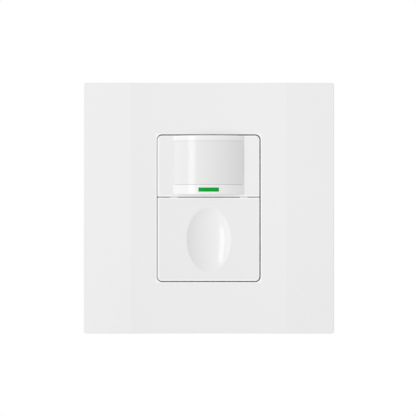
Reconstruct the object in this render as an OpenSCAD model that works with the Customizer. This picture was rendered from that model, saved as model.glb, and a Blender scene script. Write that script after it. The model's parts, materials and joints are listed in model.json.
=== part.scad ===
// Motion sensor light switch with a square screwless wall plate.
// Each piece is drawn as seen on the wall: x to the right, y up the wall, z out of the wall.
// The origin is the middle of the device face, on the wall plane. panel() then stands it upright.

/* [Wall plate] */
// Width of the wall plate
plate_w = 116; // [100:1:130]
// Height of the wall plate
plate_h = 116; // [112:1:130]
// Height of the plate's face above the wall, beside its hollowed middle
plate_d = 9.1; // [8.9:0.1:11]
// Width of the plate's hollowed middle
scoop_w = 72; // [60:1:90]
// Depth of the plate's hollowed middle
scoop_d = 1.1; // [0.6:0.1:1.3]
// Wall of the plate's sides
plate_wall = 2; // [1.6:0.1:2.4]
// Wall of the plate's face at its thinnest
plate_skin = 1.6; // [1.4:0.1:1.8]
// Radius of the plate's corners, seen from the front
plate_corner = 1.2; // [1.1:0.1:4]
// Radius along the plate's front edge
plate_edge = 0.8; // [0.3:0.1:1]
// Wall of the collar round the plate's window
collar_wall = 1.4; // [1:0.1:2]

/* [Device face] */
// Reach of the face beyond the frame's window, to each side
face_lap_x = 3.6; // [3.4:0.1:5]
// Reach of the face beyond the frame's window, up and down
face_lap_y = 3.75; // [3.5:0.05:5]
// Radius of the face's outer corners
face_corner = 2; // [1.9:0.1:3]
// Gap between the face and the plate's window
face_gap = 0.45; // [0.3:0.05:0.8]
// Height of the gap between cover and button above the middle of the face
split_y = 5.2; // [4.6:0.1:6]
// Width of the gap between cover and button
split_gap = 0.45; // [0.4:0.05:0.8]
// Wall of the front cover
cover_wall = 1.6; // [1.2:0.1:1.8]

/* [Sensor block] */
// Width of the raised block
block_w = 33.4; // [32.8:0.2:34.4]
// Height of the raised block
block_h = 27.15; // [26.4:0.05:27.4]
// Distance from the top of the block to the top of the cover
block_inset = 0.2; // [0.1:0.05:0.3]
// Radius of the block's rounded front
block_radius = 40; // [34:1:60]
// Step from the face up to the block's side edges
block_step = 0.6; // [0.3:0.1:1.2]
// Wall of the rounded front
block_wall = 2; // [1.6:0.1:2.4]
// Width of the lens
lens_w = 32.4; // [30:0.2:32.6]
// Height of the lens
lens_h = 20.75; // [19:0.25:21]
// Strip of the block above the lens
lens_margin = 1.8; // [1.6:0.1:2.4]
// Thickness of the lens sheet
lens_t = 0.8; // [0.5:0.1:1]
// Depth of the lens below the block's front
lens_recess = 0.25; // [0.1:0.05:0.4]
// Width of the status bar
bar_w = 9.5; // [6:0.5:12]
// Height of the status bar
bar_h = 1.75; // [1.25:0.25:2]
// Height of the status bar's middle above the block's lower edge
bar_rise = 2.25; // [2:0.05:2.5]

/* [Button] */
// Thickness of the button
button_t = 3.2; // [2.9:0.1:3.4]
// Width of the oval finger dish
dish_w = 20.8; // [16:0.4:26]
// Height of the oval finger dish
dish_h = 30; // [24:1:34]
// Depth of the finger dish
dish_d = 1.8; // [1.2:0.1:2]
// Distance from the middle of a hinge arm to the tray's wall
arm_inset = 2.1; // [2.1:0.1:3]
// Width of a hinge arm
arm_w = 3.7; // [3:0.1:4]
// Radius of the hinge trunnions
trunnion_r = 1; // [0.8:0.05:1.1]
// Distance from the cover's lower edge to the hinge axis
pivot_in = 3.8; // [3.7:0.1:4.2]

/* [Spring] */
// Mean radius of the return spring
spring_r = 2.6; // [2.4:0.1:3]
// Wire of the return spring
wire_d = 0.5; // [0.4:0.05:0.5]
// Turns of the return spring
spring_turns = 4; // [3:1:4]

/* [Mounting frame] */
// Width of the steel frame
frame_w = 72; // [68:1:78]
// Distance from the frame's ends to the plate's ends
frame_inset = 6; // [4:0.5:8]
// Thickness of the steel frame
frame_t = 1.2; // [1:0.1:1.5]
// Height of the frame's side flanges
flange_h = 5.2; // [5:0.1:5.6]
// Width of the frame's window
opening_w = 40; // [38:0.5:44]
// Height of the frame's window
opening_h = 60; // [56:0.5:64]
// Distance between the two box screws
screw_spacing = 83.3; // [80:0.1:88]
// Radius of the box screws' thread
stud_r = 1.75; // [1.6:0.05:2]
// Reach of the box screws behind the frame
stud_length = 18; // [12:1:24]

/* [Chassis] */
// Thickness of the chassis rim in front of the frame
rim_t = 1.8; // [1.6:0.1:2]
// Wall of the chassis tray
tray_wall = 1.4; // [1.2:0.1:1.6]
// Depth of the chassis tray behind the frame's front
tray_d = 4; // [3.8:0.1:4.4]
// Thickness of the tray's floor
floor_t = 1.4; // [1:0.1:1.6]

/* [Rear housing] */
// Reach of the rear housing beyond the frame's window, all round
housing_lap = 2.5; // [2.2:0.1:3.5]
// Depth of the rear housing behind the wall plane
housing_d = 38; // [36:1:44]
// Wall of the rear housing
housing_wall = 1.8; // [1.4:0.1:2]
// Thickness of the circuit boards
board_t = 1.6; // [1.2:0.1:1.6]

/* [Clearances] */
// Gap between fixed pieces that slip into each other
slip = 0.1; // [0.05:0.01:0.12]
// Gap of a turning or sliding fit
running = 0.05; // [0.03:0.01:0.08]
// Gap round the snap hooks
snap = 0.2; // [0.15:0.01:0.25]
// Gap between a screw and its thread in plastic or brass
thread_gap = 0.02; // [0.01:0.01:0.05]

/* [Hidden] */
$fn = 48;

// A range about zero or about a place, a range grown by a margin, its middle and its size
function span(w) = [-w / 2, w / 2];
function around(place, w) = [place - w / 2, place + w / 2];
function grow(range, by) = [range[0] - by, range[1] + by];
function middle(range) = (range[0] + range[1]) / 2;
function size(range) = range[1] - range[0];

// A margin that lets a cut run clear of the face that it leaves, and the two sides
over = 1;
both = [-1, 1];

// Face and plate, both hollowed by one large round bar along y
function sagitta_radius(chord, depth) = (chord * chord / 4 + depth * depth) / (2 * depth);
scoop_r = sagitta_radius(scoop_w, scoop_d);
function scoop_rise(x) = scoop_r - sqrt(scoop_r * scoop_r - x * x);
opening_x = span(opening_w);
opening_y = span(opening_h);
face_x = grow(opening_x, face_lap_x);
face_y = grow(opening_y, face_lap_y);
face_z = plate_d - scoop_d;
cover_y = [split_y + split_gap / 2, face_y[1]];
button_y = [face_y[0], split_y - split_gap / 2];
window_x = grow(face_x, face_gap);
window_y = grow(face_y, face_gap);
window_corner = face_corner + face_gap;
skin_back = face_z - plate_skin;
skin_middle = skin_back + plate_skin / 2;
rib_t = 1;
rib_h = 1.2;

// Heads of the box screws, which the plate's collar clears
box_head_r = 3.4;
box_head_h = 2.2;
box_neck_less = 0.25;
box_neck_past = 0.2;
box_hole_gap = 0.35;
collar_back = frame_t + box_head_h + 0.3;

// Steel frame
frame_h = plate_h - 2 * frame_inset;
frame_corner = 4;
opening_corner = 1;
slot_w = 3;
slot_h = 26;
slot_corner = 1.4;

// Snap clips of the plate in the slots of the frame's flanges
clip_x = frame_w / 2 + snap;
clip_t = 1.2;
clip_w = 8;
clip_y = 15;
clip_foot = frame_t + 0.5;
flange_end = 4;
barb_z = [frame_t + 1.3, frame_t + 2.5];

// Frame, chassis and boards, from the wall plane outwards and inwards
rim_z = [frame_t, frame_t + rim_t];
rim_x = grow(face_x, -cover_wall - snap);
rim_y = grow(face_y, -cover_wall - snap);
tray_gap = 0.3;
tray_x = grow(opening_x, -tray_gap);
tray_y = grow(opening_y, -tray_gap);
well_x = grow(tray_x, -tray_wall);
well_y = grow(tray_y, -tray_wall);
floor_z = [frame_t - tray_d, frame_t - tray_d + floor_t];
control_z = [floor_z[0] - board_t, floor_z[0]];
link_gap = 3.6;
sheet_t = 0.3;
sheet_z = [control_z[0] - link_gap - sheet_t, control_z[0] - link_gap];
power_z = [sheet_z[0] - link_gap - board_t, sheet_z[0] - link_gap];
housing_x = grow(opening_x, housing_lap);
housing_y = grow(opening_y, housing_lap);
housing_corner = 3;
cavity_corner = housing_corner - housing_wall / 2;
cavity_x = grow(housing_x, -housing_wall);
cavity_y = grow(housing_y, -housing_wall);
cavity_back = -housing_d + housing_wall;
board_room = 1;
tray_room = 0.4;
rib_w = 3;
rib_in = 2;
control_x = grow(tray_x, -tray_room);
control_y = grow(tray_y, -tray_room);
power_x = grow(cavity_x, -board_room);
power_y = grow(cavity_y, -board_room);

// Corner screws through the housing posts into the chassis bosses
boss_r = 2.6;
boss_inset = 2.1;
boss_at = [well_x[1] - boss_inset, well_y[1] - boss_inset];
post_r = 3.8;
post_web = 3;
shank_r = 1.25;
screw_head_r = 2.4;
screw_head_h = 1.8;
driver_r = screw_head_r + 0.3;
screw_bite = 9;
bite_spare = 1;
boss_rise = 2.6;

// Sensor block, lens and status bar
block_x = span(block_w);
block_y = [cover_y[1] - block_inset - block_h, cover_y[1] - block_inset];
block_sag = block_radius - sqrt(block_radius * block_radius - block_w * block_w / 4);
crown_z = face_z + scoop_rise(block_w / 2) + block_step + block_sag;
axis_z = crown_z - block_radius;
block_inner = block_radius - block_wall;
block_end = 0.7;
hollow_x = grow(block_x, -cover_wall);
hollow_y = [block_y[0] + cover_wall, block_y[1] - block_end];
lens_x = span(lens_w);
lens_y = [block_y[1] - lens_margin - lens_h, block_y[1] - lens_margin];
lens_r = block_radius - lens_recess;
lens_edge_z = axis_z + sqrt(pow(lens_r - lens_t, 2) - lens_w * lens_w / 4);
lens_lip = lens_margin - block_end - slip;
lip_t = 0.7;
lip_r = block_inner - slip;
bar_y = block_y[0] + bar_rise;
retainer_t = 1.2;
retainer_rim = 1.4;
pipe_lip = 1;
pipe_lip_z = [face_z - cover_wall - slip - pipe_lip, face_z - cover_wall - slip];
cover_skirt = frame_t + slip;
cover_seat = rim_z[1] + slip;

// Button, hinge and spring
button_z = [face_z - button_t, face_z];
dish_y = middle(button_y);
pivot_y = cover_y[0] + pivot_in;
pivot_drop = 0.9;
pivot_z = button_z[0] - pivot_drop;
arm_x = well_x[1] - arm_inset;
arm_t = 2;
arm_root = 3.5;
arm_notch = 0.3;
sink = 0.4;
cheek_t = 1.6;
cheek_wall = 1;
cheek_half = trunnion_r + cheek_wall;
cheek_gap = 0.15;
cheek_rise = 1.3;
cheek_top = pivot_z + cheek_rise;
nub_gap = split_gap * 0.4;
nub_drop = 0.35;
hook_w = 4;
hook_t = 1;
hook_gap = 0.4;
hook_room = 1;
hook_x = boss_at[0] - boss_r - hook_room - hook_w / 2;
hook_rise = 1.45;
hook_end = floor_z[1] + hook_rise;
hook_barb = 0.75;
pocket_d = 1.2;
pad_wall = 1.6;
pad_half = dish_w / 2 + pad_wall;
pad_low = 8;
pocket_y = [button_y[0] + pad_low, button_y[1] - arm_root - pad_wall];
spring_up = 11.6;
spring_y = button_y[0] + spring_up;
spring_z = [floor_z[1], button_z[0]];
guide_gap = 0.5;
guide_r = spring_r - wire_d / 2 - guide_gap;
guide_h = 1;
dial_x = 10;
dial_up = 17.5;
dial_y = button_y[0] + dial_up;
trimmer_w = 6.6;
trimmer_h = 3.4;
trimmer_z = [floor_z[0], floor_z[0] + trimmer_h];
trimmer_room = 0.3;
dial_r = 2.4;
dial_t = 1;
dial_slot = 0.8;
dial_slot_d = 0.5;
dial_shaft_r = 0.9;
dial_shaft_in = 2;
dial_shaft_end = 0.4;
tact_down = 9.5;
tact_y = button_y[1] - tact_down;
tact_w = 6;
tact_h = 3.5;
tact_z = [floor_z[0], floor_z[0] + tact_h];
tact_floor = 0.8;
tact_cap = 0.6;
tact_room = 0.5;
plunger_rise = 1.4;
plunger_top = tact_z[1] + plunger_rise;
plunger_r = 1.7;
plunger_flange = 0.3;
plunger_in = 1.6;
plunger_foot = tact_z[1] - plunger_in;
press_post_r = 1.3;
post_gap = 0.15;
board_screw_x = 9;
board_screw_down = 4;
board_screw_y = button_y[1] - board_screw_down;
board_screw_r = 1;
board_boss_r = 2.2;
board_boss_h = 3.4;
board_boss_top = floor_z[1] + board_boss_h;
board_boss_cap = 0.8;
board_head_r = 1.9;
board_head_h = 1.2;
board_bite = 2;
board_hole_gap = 0.3;

// Parts that look through the tray's floor
pir_y = middle(lens_y);
pir_r = 4.6;
pir_h = 4.4;
pir_flange = 0.5;
pir_flange_t = 0.7;
pir_window_w = 4.2;
pir_window_h = 3.2;
pir_window_d = 0.6;
pir_window_t = 0.5;
pir_room = 0.6;
cell_x = 9.5;
cell_r = 2.3;
cell_cap = 0.5;
cell_h = 2.2;
cell_rim = 1.6;
led_w = 3.2;
led_h = 1.6;
led_t = 1;
led_room = 1.5;
bar_room = 0.7;
pipe_back = floor_z[0] + led_t + 0.2;

// Chips on the back of the control board
mcu_w = 7;
mcu_t = 0.9;
chip_w = 1.6;
chip_h = 0.8;
chip_t = 0.6;
chip_x = 6;
chip_stagger = 2.6;
chip_step = 4;
chip_rows = [-2:2];
block_cap_w = 4;
block_cap_h = 3;
block_cap_t = 1.2;
block_cap_x = 6.5;
block_cap_y = pir_y - 7;

// Terminals
terminal_y = 12;
terminal_z = power_z[0] - 6.6;
terminal_w = 8.4;
terminal_h = 9.6;
terminal_t = 1;
terminal_x = [cavity_x[1] - 0.2, cavity_x[1] - 0.2 + terminal_t];
terminal_places = [[1, terminal_y], [1, -terminal_y], [-1, terminal_y]];
terminal_screw_r = 1.7;
terminal_head_r = 3.4;
terminal_head_h = 2;
terminal_screw_l = 5;
tail_x = power_x[1] - 2;
tail_w = 3;
tail_t = 0.8;
tail_z = [terminal_z + terminal_h / 2 - tail_t, terminal_z + terminal_h / 2];
earth_x = -10;
earth_y = housing_y[0] - 3.4;
earth_drop = 5.4;
earth_w = 9;
earth_r = 1.9;
earth_head_r = 3.8;
earth_head_h = 2.4;
earth_slot = 0.9;
earth_tip = 1.6;

// Pin header between the boards
link_w = 12;
link_t = 2.5;
link_y = control_y[0] + 6;
link_room = 0.3;
sheet_room = 0.4;

// Relay, with heights counted from the back of the power board
relay_w = 15.5;
relay_l = 19;
relay_x = -5;
relay_at = [relay_x, post_r + tray_gap - boss_at[1] + relay_l / 2];
relay_h = 15.6;
relay_wall = 0.7;
relay_foot = 1.4;
yoke_w = 11;
yoke_t = 1;
yoke_top = 12.4;
coil_r = 4.5;
coil_z = [relay_foot + yoke_t, yoke_top - 1];
coil_flange = 0.3;
coil_flange_t = 0.8;
core_r = 1.8;
core_top = yoke_top - 0.4;
hinge_y = 5.7;
hinge_h = 13;
hinge_r = 0.5;
ear_t = 0.8;
ear_w = 2;
ear_z = [yoke_top - 1.5, hinge_h + 1];
armature_w = 9;
armature_z = [12.6, 13.4];
armature_end = -coil_r - 0.5;
leaf_w = 4;
leaf_t = 0.4;
contact_y = -7.2;
contact_r = 1;
contact_t = 0.8;
contact_w = 3.6;
contact_top = 10.9;
contact_gap = 1.15;

// Other parts on the power board, placed about the relay and the board's ends
bulk_x = -8;
bulk_down = 15.7;
bulk_at = [bulk_x, power_y[1] - bulk_down];
bulk_r = 5;
bulk_h = 14;
bulk_bead = 0.4;
film_x = 8;
film_down = 13.7;
film_at = [film_x, power_y[1] - film_down];
film_w = 7;
film_l = 13;
film_h = 11;
rectifier_down = 5.7;
rectifier_at = [0, power_y[1] - rectifier_down];
rectifier_w = 8;
rectifier_t = 4;
rectifier_h = 6;
inductor_r = 4;
inductor_core = 3.4;
inductor_h = 9;
inductor_flange = 1.2;
inductor_x = -1;
inductor_gap = 1;
inductor_at = [inductor_x, relay_at[1] + relay_l / 2 + inductor_r + inductor_gap];
varistor_r = 5;
varistor_t = 4;
varistor_z = 6;
varistor_leg_w = 5;
varistor_leg_t = 1;
varistor_x = 10;
varistor_at = [varistor_x, relay_at[1] + relay_l / 2 + varistor_t];
fuse_r = 2.3;
fuse_h = 8;
fuse_gap = 2.45;
fuse_down = 3;
fuse_at = [relay_at[0] + relay_w / 2 + fuse_gap + fuse_r, relay_at[1] - fuse_down];

// Stands the panel upright: x stays, y becomes up, z points out of the wall
module panel() rotate([90, 0, 0]) children();

// A box between two corners given as ranges
module brick(x, y, z)
    translate([x[0], y[0], z[0]]) cube([size(x), size(y), size(z)]);

// A round bar along z, along x or along y
module rod(at, r, z)
    translate([at[0], at[1], z[0]]) cylinder(r = r, h = size(z));

module rod_x(x, at, r)
    translate([x[0], at[0], at[1]]) rotate([0, 90, 0]) cylinder(r = r, h = size(x));

module rod_y(y, at, r)
    translate([at[0], y[0], at[1]]) rotate([-90, 0, 0]) cylinder(r = r, h = size(y));

// A flat outline with one radius for its lower and one for its upper corners
module card(x, y, low, high) {
    translate([x[0], y[0] + low]) square([size(x), size(y) - low - high]);
    if (low > 0) {
        translate([x[0] + low, y[0]]) square([size(x) - 2 * low, 2 * low]);
        for (cx = grow(x, -low)) translate([cx, y[0] + low]) circle(r = low);
    }
    if (high > 0) {
        translate([x[0] + high, y[1] - 2 * high]) square([size(x) - 2 * high, 2 * high]);
        for (cx = grow(x, -high)) translate([cx, y[1] - high]) circle(r = high);
    }
}

module slab(x, y, z, low = 0, high = 0)
    translate([0, 0, z[0]]) linear_extrude(size(z)) card(x, y, low, high);

// A block with corners of radius r and a front edge of radius e
module edge_profile(r, t, e) difference() {
    square([r, t]);
    translate([r - e, t - e]) difference() {
        square([e + over, e + over]);
        circle(r = e);
    }
}

module soft_block(w, h, t, r, e) {
    brick(span(w - 2 * r), span(h - 2 * r), [0, t]);
    for (k = [0:3]) {
        a = k % 2 == 0 ? w : h;
        b = k % 2 == 0 ? h : w;
        rotate(90 * k) translate([a / 2 - r, b / 2 - r, 0]) {
            rotate_extrude(angle = 90) edge_profile(r, t, e);
            rotate([90, 0, 0]) linear_extrude(b - 2 * r) edge_profile(r, t, e);
        }
    }
}

// The round bar that hollows the plate, the cover and the button
module scoop()
    translate([0, plate_h / 2 + over, 0]) rotate([90, 0, 0]) linear_extrude(plate_h + 2 * over)
        intersection() {
            translate([0, face_z + scoop_r]) circle(r = scoop_r, $fn = 1440);
            translate([-scoop_w, 0]) square([2 * scoop_w, plate_d + over]);
        }

// A curved sheet about the sensor block's upright axis, between two radii
module arc_sheet(x, y, r)
    intersection() {
        brick(x, y, [axis_z + r[0] / 2, axis_z + r[1] + over]);
        difference() {
            rod_y(grow(y, over), [0, axis_z], r[1]);
            rod_y(grow(y, 2 * over), [0, axis_z], r[0]);
        }
    }

// A pan head screw along -z with its head's seat at z = 0 and a cross recess
module screw(head_r, head_h, neck_r, neck_l, thread_r, length)
    difference() {
        rotate_extrude()
            polygon([
                [0, head_h], [head_r * 0.55, head_h], [head_r * 0.9, head_h * 0.75], [head_r, head_h * 0.35],
                [head_r, 0], [neck_r, 0], [neck_r, -neck_l], [thread_r, -neck_l],
                [thread_r, -length + thread_r / 2], [thread_r / 2, -length], [0, -length]
            ]);
        for (turn = [0, 90])
            rotate(turn) brick(span(head_r * 1.2), span(head_r * 0.28), [head_h * 0.45, head_h + over]);
    }

// A piece at the four corner screws
module at_corners()
    for (sx = both, sy = both) translate([sx * boss_at[0], sy * boss_at[1], 0]) children();

// A board with its corners cut away for the screw posts
module notched_board(x, y, z, cut) {
    brick(grow(x, -cut), y, z);
    brick(x, grow(y, -cut), z);
}

// A piece on the back of the power board, with z counted from the board towards the back
module behind(at) translate([at[0], at[1], power_z[0]]) mirror([0, 0, 1]) children();

module plate_clip() {
    brick([clip_x, clip_x + clip_t], around(clip_y, clip_w), [clip_foot, skin_middle]);
    brick([clip_x - snap - frame_t * 0.7, clip_x + clip_t / 2], around(clip_y, clip_w), barb_z);
}

module wall_plate() color("#f2f2f0") panel() {
    difference() {
        soft_block(plate_w, plate_h, plate_d, plate_corner, plate_edge);
        brick(span(plate_w - 2 * plate_wall), span(plate_h - 2 * plate_wall), [-over, skin_back]);
        slab(window_x, window_y, [0, plate_d + over], window_corner, window_corner);
        scoop();
    }
    difference() {
        slab(grow(window_x, collar_wall), grow(window_y, collar_wall), [collar_back, skin_middle],
            window_corner + collar_wall, window_corner + collar_wall);
        slab(window_x, window_y, [0, plate_d], window_corner, window_corner);
    }
    for (sx = both, sy = both)
        mirror([(1 - sx) / 2, 0, 0]) mirror([0, (1 - sy) / 2, 0]) plate_clip();
    for (s = both) {
        brick(around(s * (plate_w + frame_w) / 4, rib_t), span(plate_h - 2 * plate_wall),
            [skin_back - rib_h, skin_middle]);
        brick(span(plate_w - 2 * plate_wall), around(s * (plate_h + size(face_y)) / 4, rib_t),
            [skin_back - rib_h, skin_middle]);
    }
}

module mounting_frame() color("#b9bcc0") panel() difference() {
    union() {
        slab(span(frame_w), span(frame_h), [0, frame_t], frame_corner, frame_corner);
        for (s = both)
            mirror([(1 - s) / 2, 0, 0])
                brick([frame_w / 2 - frame_t, frame_w / 2], span(2 * clip_y + clip_w + 2 * flange_end),
                    [0, flange_h]);
        brick(around(earth_x, earth_w), around(earth_y, frame_t), [-earth_drop - earth_w / 2, frame_t]);
    }
    slab(opening_x, opening_y, [-over, frame_t + over], opening_corner, opening_corner);
    for (s = both) {
        rod([0, s * screw_spacing / 2], stud_r + box_hole_gap, [-over, frame_t + over]);
        slab(around(s * (frame_w + opening_w) / 4, slot_w), span(slot_h), [-over, frame_t + over],
            slot_corner, slot_corner);
        for (t = both)
            brick(around(s * frame_w / 2, 4 * frame_t), around(t * clip_y, clip_w + 2 * snap),
                grow(barb_z, snap));
    }
    rod_y(around(earth_y, 2 * frame_t), [earth_x, -earth_drop], earth_r + thread_gap);
}

module box_screws() color("#d8d4c8") panel()
    for (s = both)
        translate([0, s * screw_spacing / 2, frame_t])
            screw(box_head_r, box_head_h, stud_r - box_neck_less, frame_t + box_neck_past, stud_r,
                frame_t + stud_length);

module ground_screw() color("#3f9a4c") panel()
    translate([earth_x, earth_y - frame_t / 2, -earth_drop]) rotate([90, 0, 0]) difference() {
        union() {
            cylinder(r = earth_head_r, h = earth_head_h, $fn = 6);
            translate([0, 0, -frame_t - earth_tip]) cylinder(r = earth_r, h = frame_t + earth_tip + slip);
        }
        brick(span(2 * earth_head_r + over), span(earth_slot),
            [earth_head_h - earth_slot, earth_head_h + over]);
    }

// Front cover, lens and light pipe

snap_inset = 8;
snap_y = grow(cover_y, -snap_inset);
bead_w = 4;
bead_d = 0.45;
bead_t = 0.7;
bead_z = around(middle(rim_z), bead_t);

module cover_shell() difference() {
    slab(face_x, cover_y, [cover_skirt, plate_d], 0, face_corner);
    scoop();
    slab(grow(face_x, -cover_wall), grow(cover_y, -cover_wall), [0, face_z - cover_wall],
        0, face_corner - cover_wall);
    brick(grow(face_x, over), [cover_y[0] - over, cover_y[0] + cover_wall + over], [0, cover_seat]);
}

module block_body() arc_sheet(block_x, block_y, [block_radius / 2, block_radius]);

module front_cover() color("#f4f4f2") panel() {
    difference() {
        union() {
            cover_shell();
            intersection() {
                block_body();
                brick(block_x, block_y, [face_z - cover_wall, crown_z + over]);
            }
        }
        intersection() {
            rod_y(hollow_y, [0, axis_z], block_inner);
            brick(hollow_x, hollow_y, [cover_seat, crown_z]);
        }
        brick(grow(lens_x, slip), grow(lens_y, slip), [lens_edge_z - slip, crown_z + over]);
        brick(grow(span(bar_w), slip), around(bar_y, bar_h + 2 * slip), [0, crown_z + over]);
        for (s = both)
            brick(around(s * arm_x, arm_w + 2 * arm_notch), around(cover_y[0], 2 * cover_wall + over),
                [0, pivot_z + arm_t / 2 + arm_notch]);
    }
    for (s = both, y = snap_y)
        mirror([(1 - s) / 2, 0, 0])
            brick([face_x[1] - cover_wall - bead_d, face_x[1] - cover_wall / 2], around(y, bead_w), bead_z);
}

module fresnel_lens() color("#e9e9e6") panel() {
    arc_sheet(lens_x, lens_y, [lens_r - lens_t, lens_r]);
    intersection() {
        brick(grow(hollow_x, -slip), grow(lens_y, lens_lip), [0, crown_z]);
        union() {
            for (y = [[lens_y[0], lens_y[0] + lip_t], [lens_y[1] - lip_t, lens_y[1]]])
                arc_sheet(block_x, y, [lip_r - lip_t, lens_r - lens_t / 2]);
            for (y = [[lens_y[0] - lens_lip, lens_y[0] + lip_t], [lens_y[1] - lip_t, lens_y[1] + lens_lip]])
                arc_sheet(block_x, y, [lip_r - lip_t, lip_r]);
        }
    }
}

module lens_retainer() color("#3a3c40") panel() difference() {
    arc_sheet(grow(hollow_x, -slip), grow(lens_y, lens_lip),
        [lip_r - lip_t - slip - retainer_t, lip_r - lip_t - slip]);
    brick(grow(hollow_x, -retainer_rim), grow(lens_y, -retainer_rim), [0, crown_z]);
}

module light_pipe() color("#2fae55") panel() intersection() {
    rod_y(around(bar_y, 2 * bar_h), [0, axis_z], block_radius - slip);
    union() {
        translate([0, bar_y + bar_h / 2, 0]) rotate([90, 0, 0]) linear_extrude(bar_h)
            polygon([
                [-bar_w / 2, crown_z + over], [-bar_w / 2, face_z], [-led_w / 2, pipe_back],
                [led_w / 2, pipe_back], [bar_w / 2, face_z], [bar_w / 2, crown_z + over]
            ]);
        brick(span(bar_w + 2 * pipe_lip), around(bar_y, bar_h), pipe_lip_z);
    }
}

// Button, hinge and return spring

// The dish is the print of a barrel that stands along y, round across and bowed along its staves
dish_across = sagitta_radius(dish_w, dish_d + scoop_rise(dish_w / 2));
dish_along = sagitta_radius(dish_h, dish_d);

module dish_cut()
    translate([0, dish_y, face_z - dish_d + dish_across]) rotate([90, 0, 0]) rotate_extrude($fn = 192)
        intersection() {
            translate([dish_across - dish_along, 0]) circle(r = dish_along, $fn = 192);
            translate([0, -dish_h]) square([2 * dish_across, 2 * dish_h]);
        }

module hinge_arm() {
    x = around(arm_x, arm_w);
    brick(x, [button_y[1] - arm_root, button_y[1]], [pivot_z - arm_t / 2, button_z[0] + sink]);
    brick(x, [button_y[1] - arm_root, pivot_y], around(pivot_z, arm_t));
    rod_x(x, [pivot_y, pivot_z], arm_t / 2);
    brick(x, [button_y[1] - sink, cover_y[0] - nub_gap], [pivot_z, face_z + scoop_rise(arm_x) - nub_drop]);
    rod_x(grow(x, cheek_gap + cheek_t - slip), [pivot_y, pivot_z], trunnion_r);
}

module button_hook() {
    leg_y = [well_y[0] + hook_gap, well_y[0] + hook_gap + hook_t];
    brick(around(hook_x, hook_w), leg_y, [hook_end, button_z[0] + sink]);
    brick(around(hook_x, hook_w), [well_y[0] - tray_wall / 2, leg_y[1]], [hook_end, hook_end + hook_barb]);
}

module push_button() color("#f1f1ef") panel() {
    difference() {
        slab(face_x, button_y, [button_z[0], plate_d], face_corner, 0);
        scoop();
        dish_cut();
        for (s = both)
            mirror([(1 - s) / 2, 0, 0])
                brick([pad_half, face_x[1] - cover_wall], pocket_y,
                    [button_z[0] - over, button_z[0] + pocket_d]);
    }
    for (s = both)
        mirror([(1 - s) / 2, 0, 0]) {
            hinge_arm();
            button_hook();
        }
    rod([0, tact_y], press_post_r, [plunger_top + post_gap, button_z[0] + sink]);
    rod([0, spring_y], guide_r, [button_z[0] - guide_h, button_z[0] + sink]);
}

// The spring is one swept wire: straight ends along its axis and a helix between them
wire_sides = 6;
rings_per_turn = 8;
spring_steps = rings_per_turn * spring_turns;
helix_z = [spring_z[0] + wire_d, spring_z[1] - wire_d];
spring_angles = concat([0], [for (i = [0:spring_steps]) 360 * i / rings_per_turn], [360 * spring_turns]);
spring_heights = concat([spring_z[0]],
    [for (i = [0:spring_steps]) helix_z[0] + size(helix_z) * i / spring_steps], [spring_z[1]]);
spring_path = [for (i = [0:len(spring_angles) - 1])
    [spring_r * cos(spring_angles[i]), spring_r * sin(spring_angles[i]), spring_heights[i]]];
last_ring = len(spring_path) - 1;

function unit(v) = v / norm(v);
function wire_ring(i) =
    let (way = unit(spring_path[min(i + 1, last_ring)] - spring_path[max(i - 1, 0)]),
        out = [cos(spring_angles[i]), sin(spring_angles[i]), 0],
        side = cross(way, out))
    [for (k = [0:wire_sides - 1])
        spring_path[i] + wire_d / 2 * (cos(360 * k / wire_sides) * out + sin(360 * k / wire_sides) * side)];
spring_points = [for (i = [0:last_ring]) each wire_ring(i)];
spring_sides = [for (i = [0:last_ring - 1], k = [0:wire_sides - 1])
    let (n = (k + 1) % wire_sides, a = i * wire_sides, b = a + wire_sides)
    each [[a + k, b + k, a + n], [a + n, b + k, b + n]]];
spring_ends = [for (k = [1:wire_sides - 2])
    let (z = last_ring * wire_sides)
    each [[0, k, k + 1], [z, z + k + 1, z + k]]];
spring_gap = min([for (i = [0:last_ring], j = [0:last_ring])
    if (j > i + rings_per_turn / 2) norm(spring_path[i] - spring_path[j])]) - wire_d;
echo(spring_gap = spring_gap);

module button_spring() color("#c9ccd0") panel()
    translate([0, spring_y, 0]) polyhedron(spring_points, concat(spring_sides, spring_ends), convexity = 8);

// Chassis
through_floor = grow(floor_z, over);

cheek_in = [arm_x - arm_w / 2 - cheek_gap - cheek_t, arm_x - arm_w / 2 - cheek_gap];
cheek_out = [arm_x + arm_w / 2 + cheek_gap, arm_x + arm_w / 2 + cheek_gap + cheek_t];

module hinge_cheeks() {
    brick(cheek_in, around(pivot_y, 2 * cheek_half), [floor_z[0], cheek_top]);
    brick(cheek_out, around(pivot_y, 2 * cheek_half), [rim_z[0], cheek_top]);
}

module hinge_bore() {
    bore_x = [cheek_in[0] - over, cheek_out[1] + over];
    rod_x(bore_x, [pivot_y, pivot_z], trunnion_r + running);
    brick(bore_x, around(pivot_y, 1.7 * trunnion_r), [pivot_z, cheek_top + over]);
}

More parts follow.
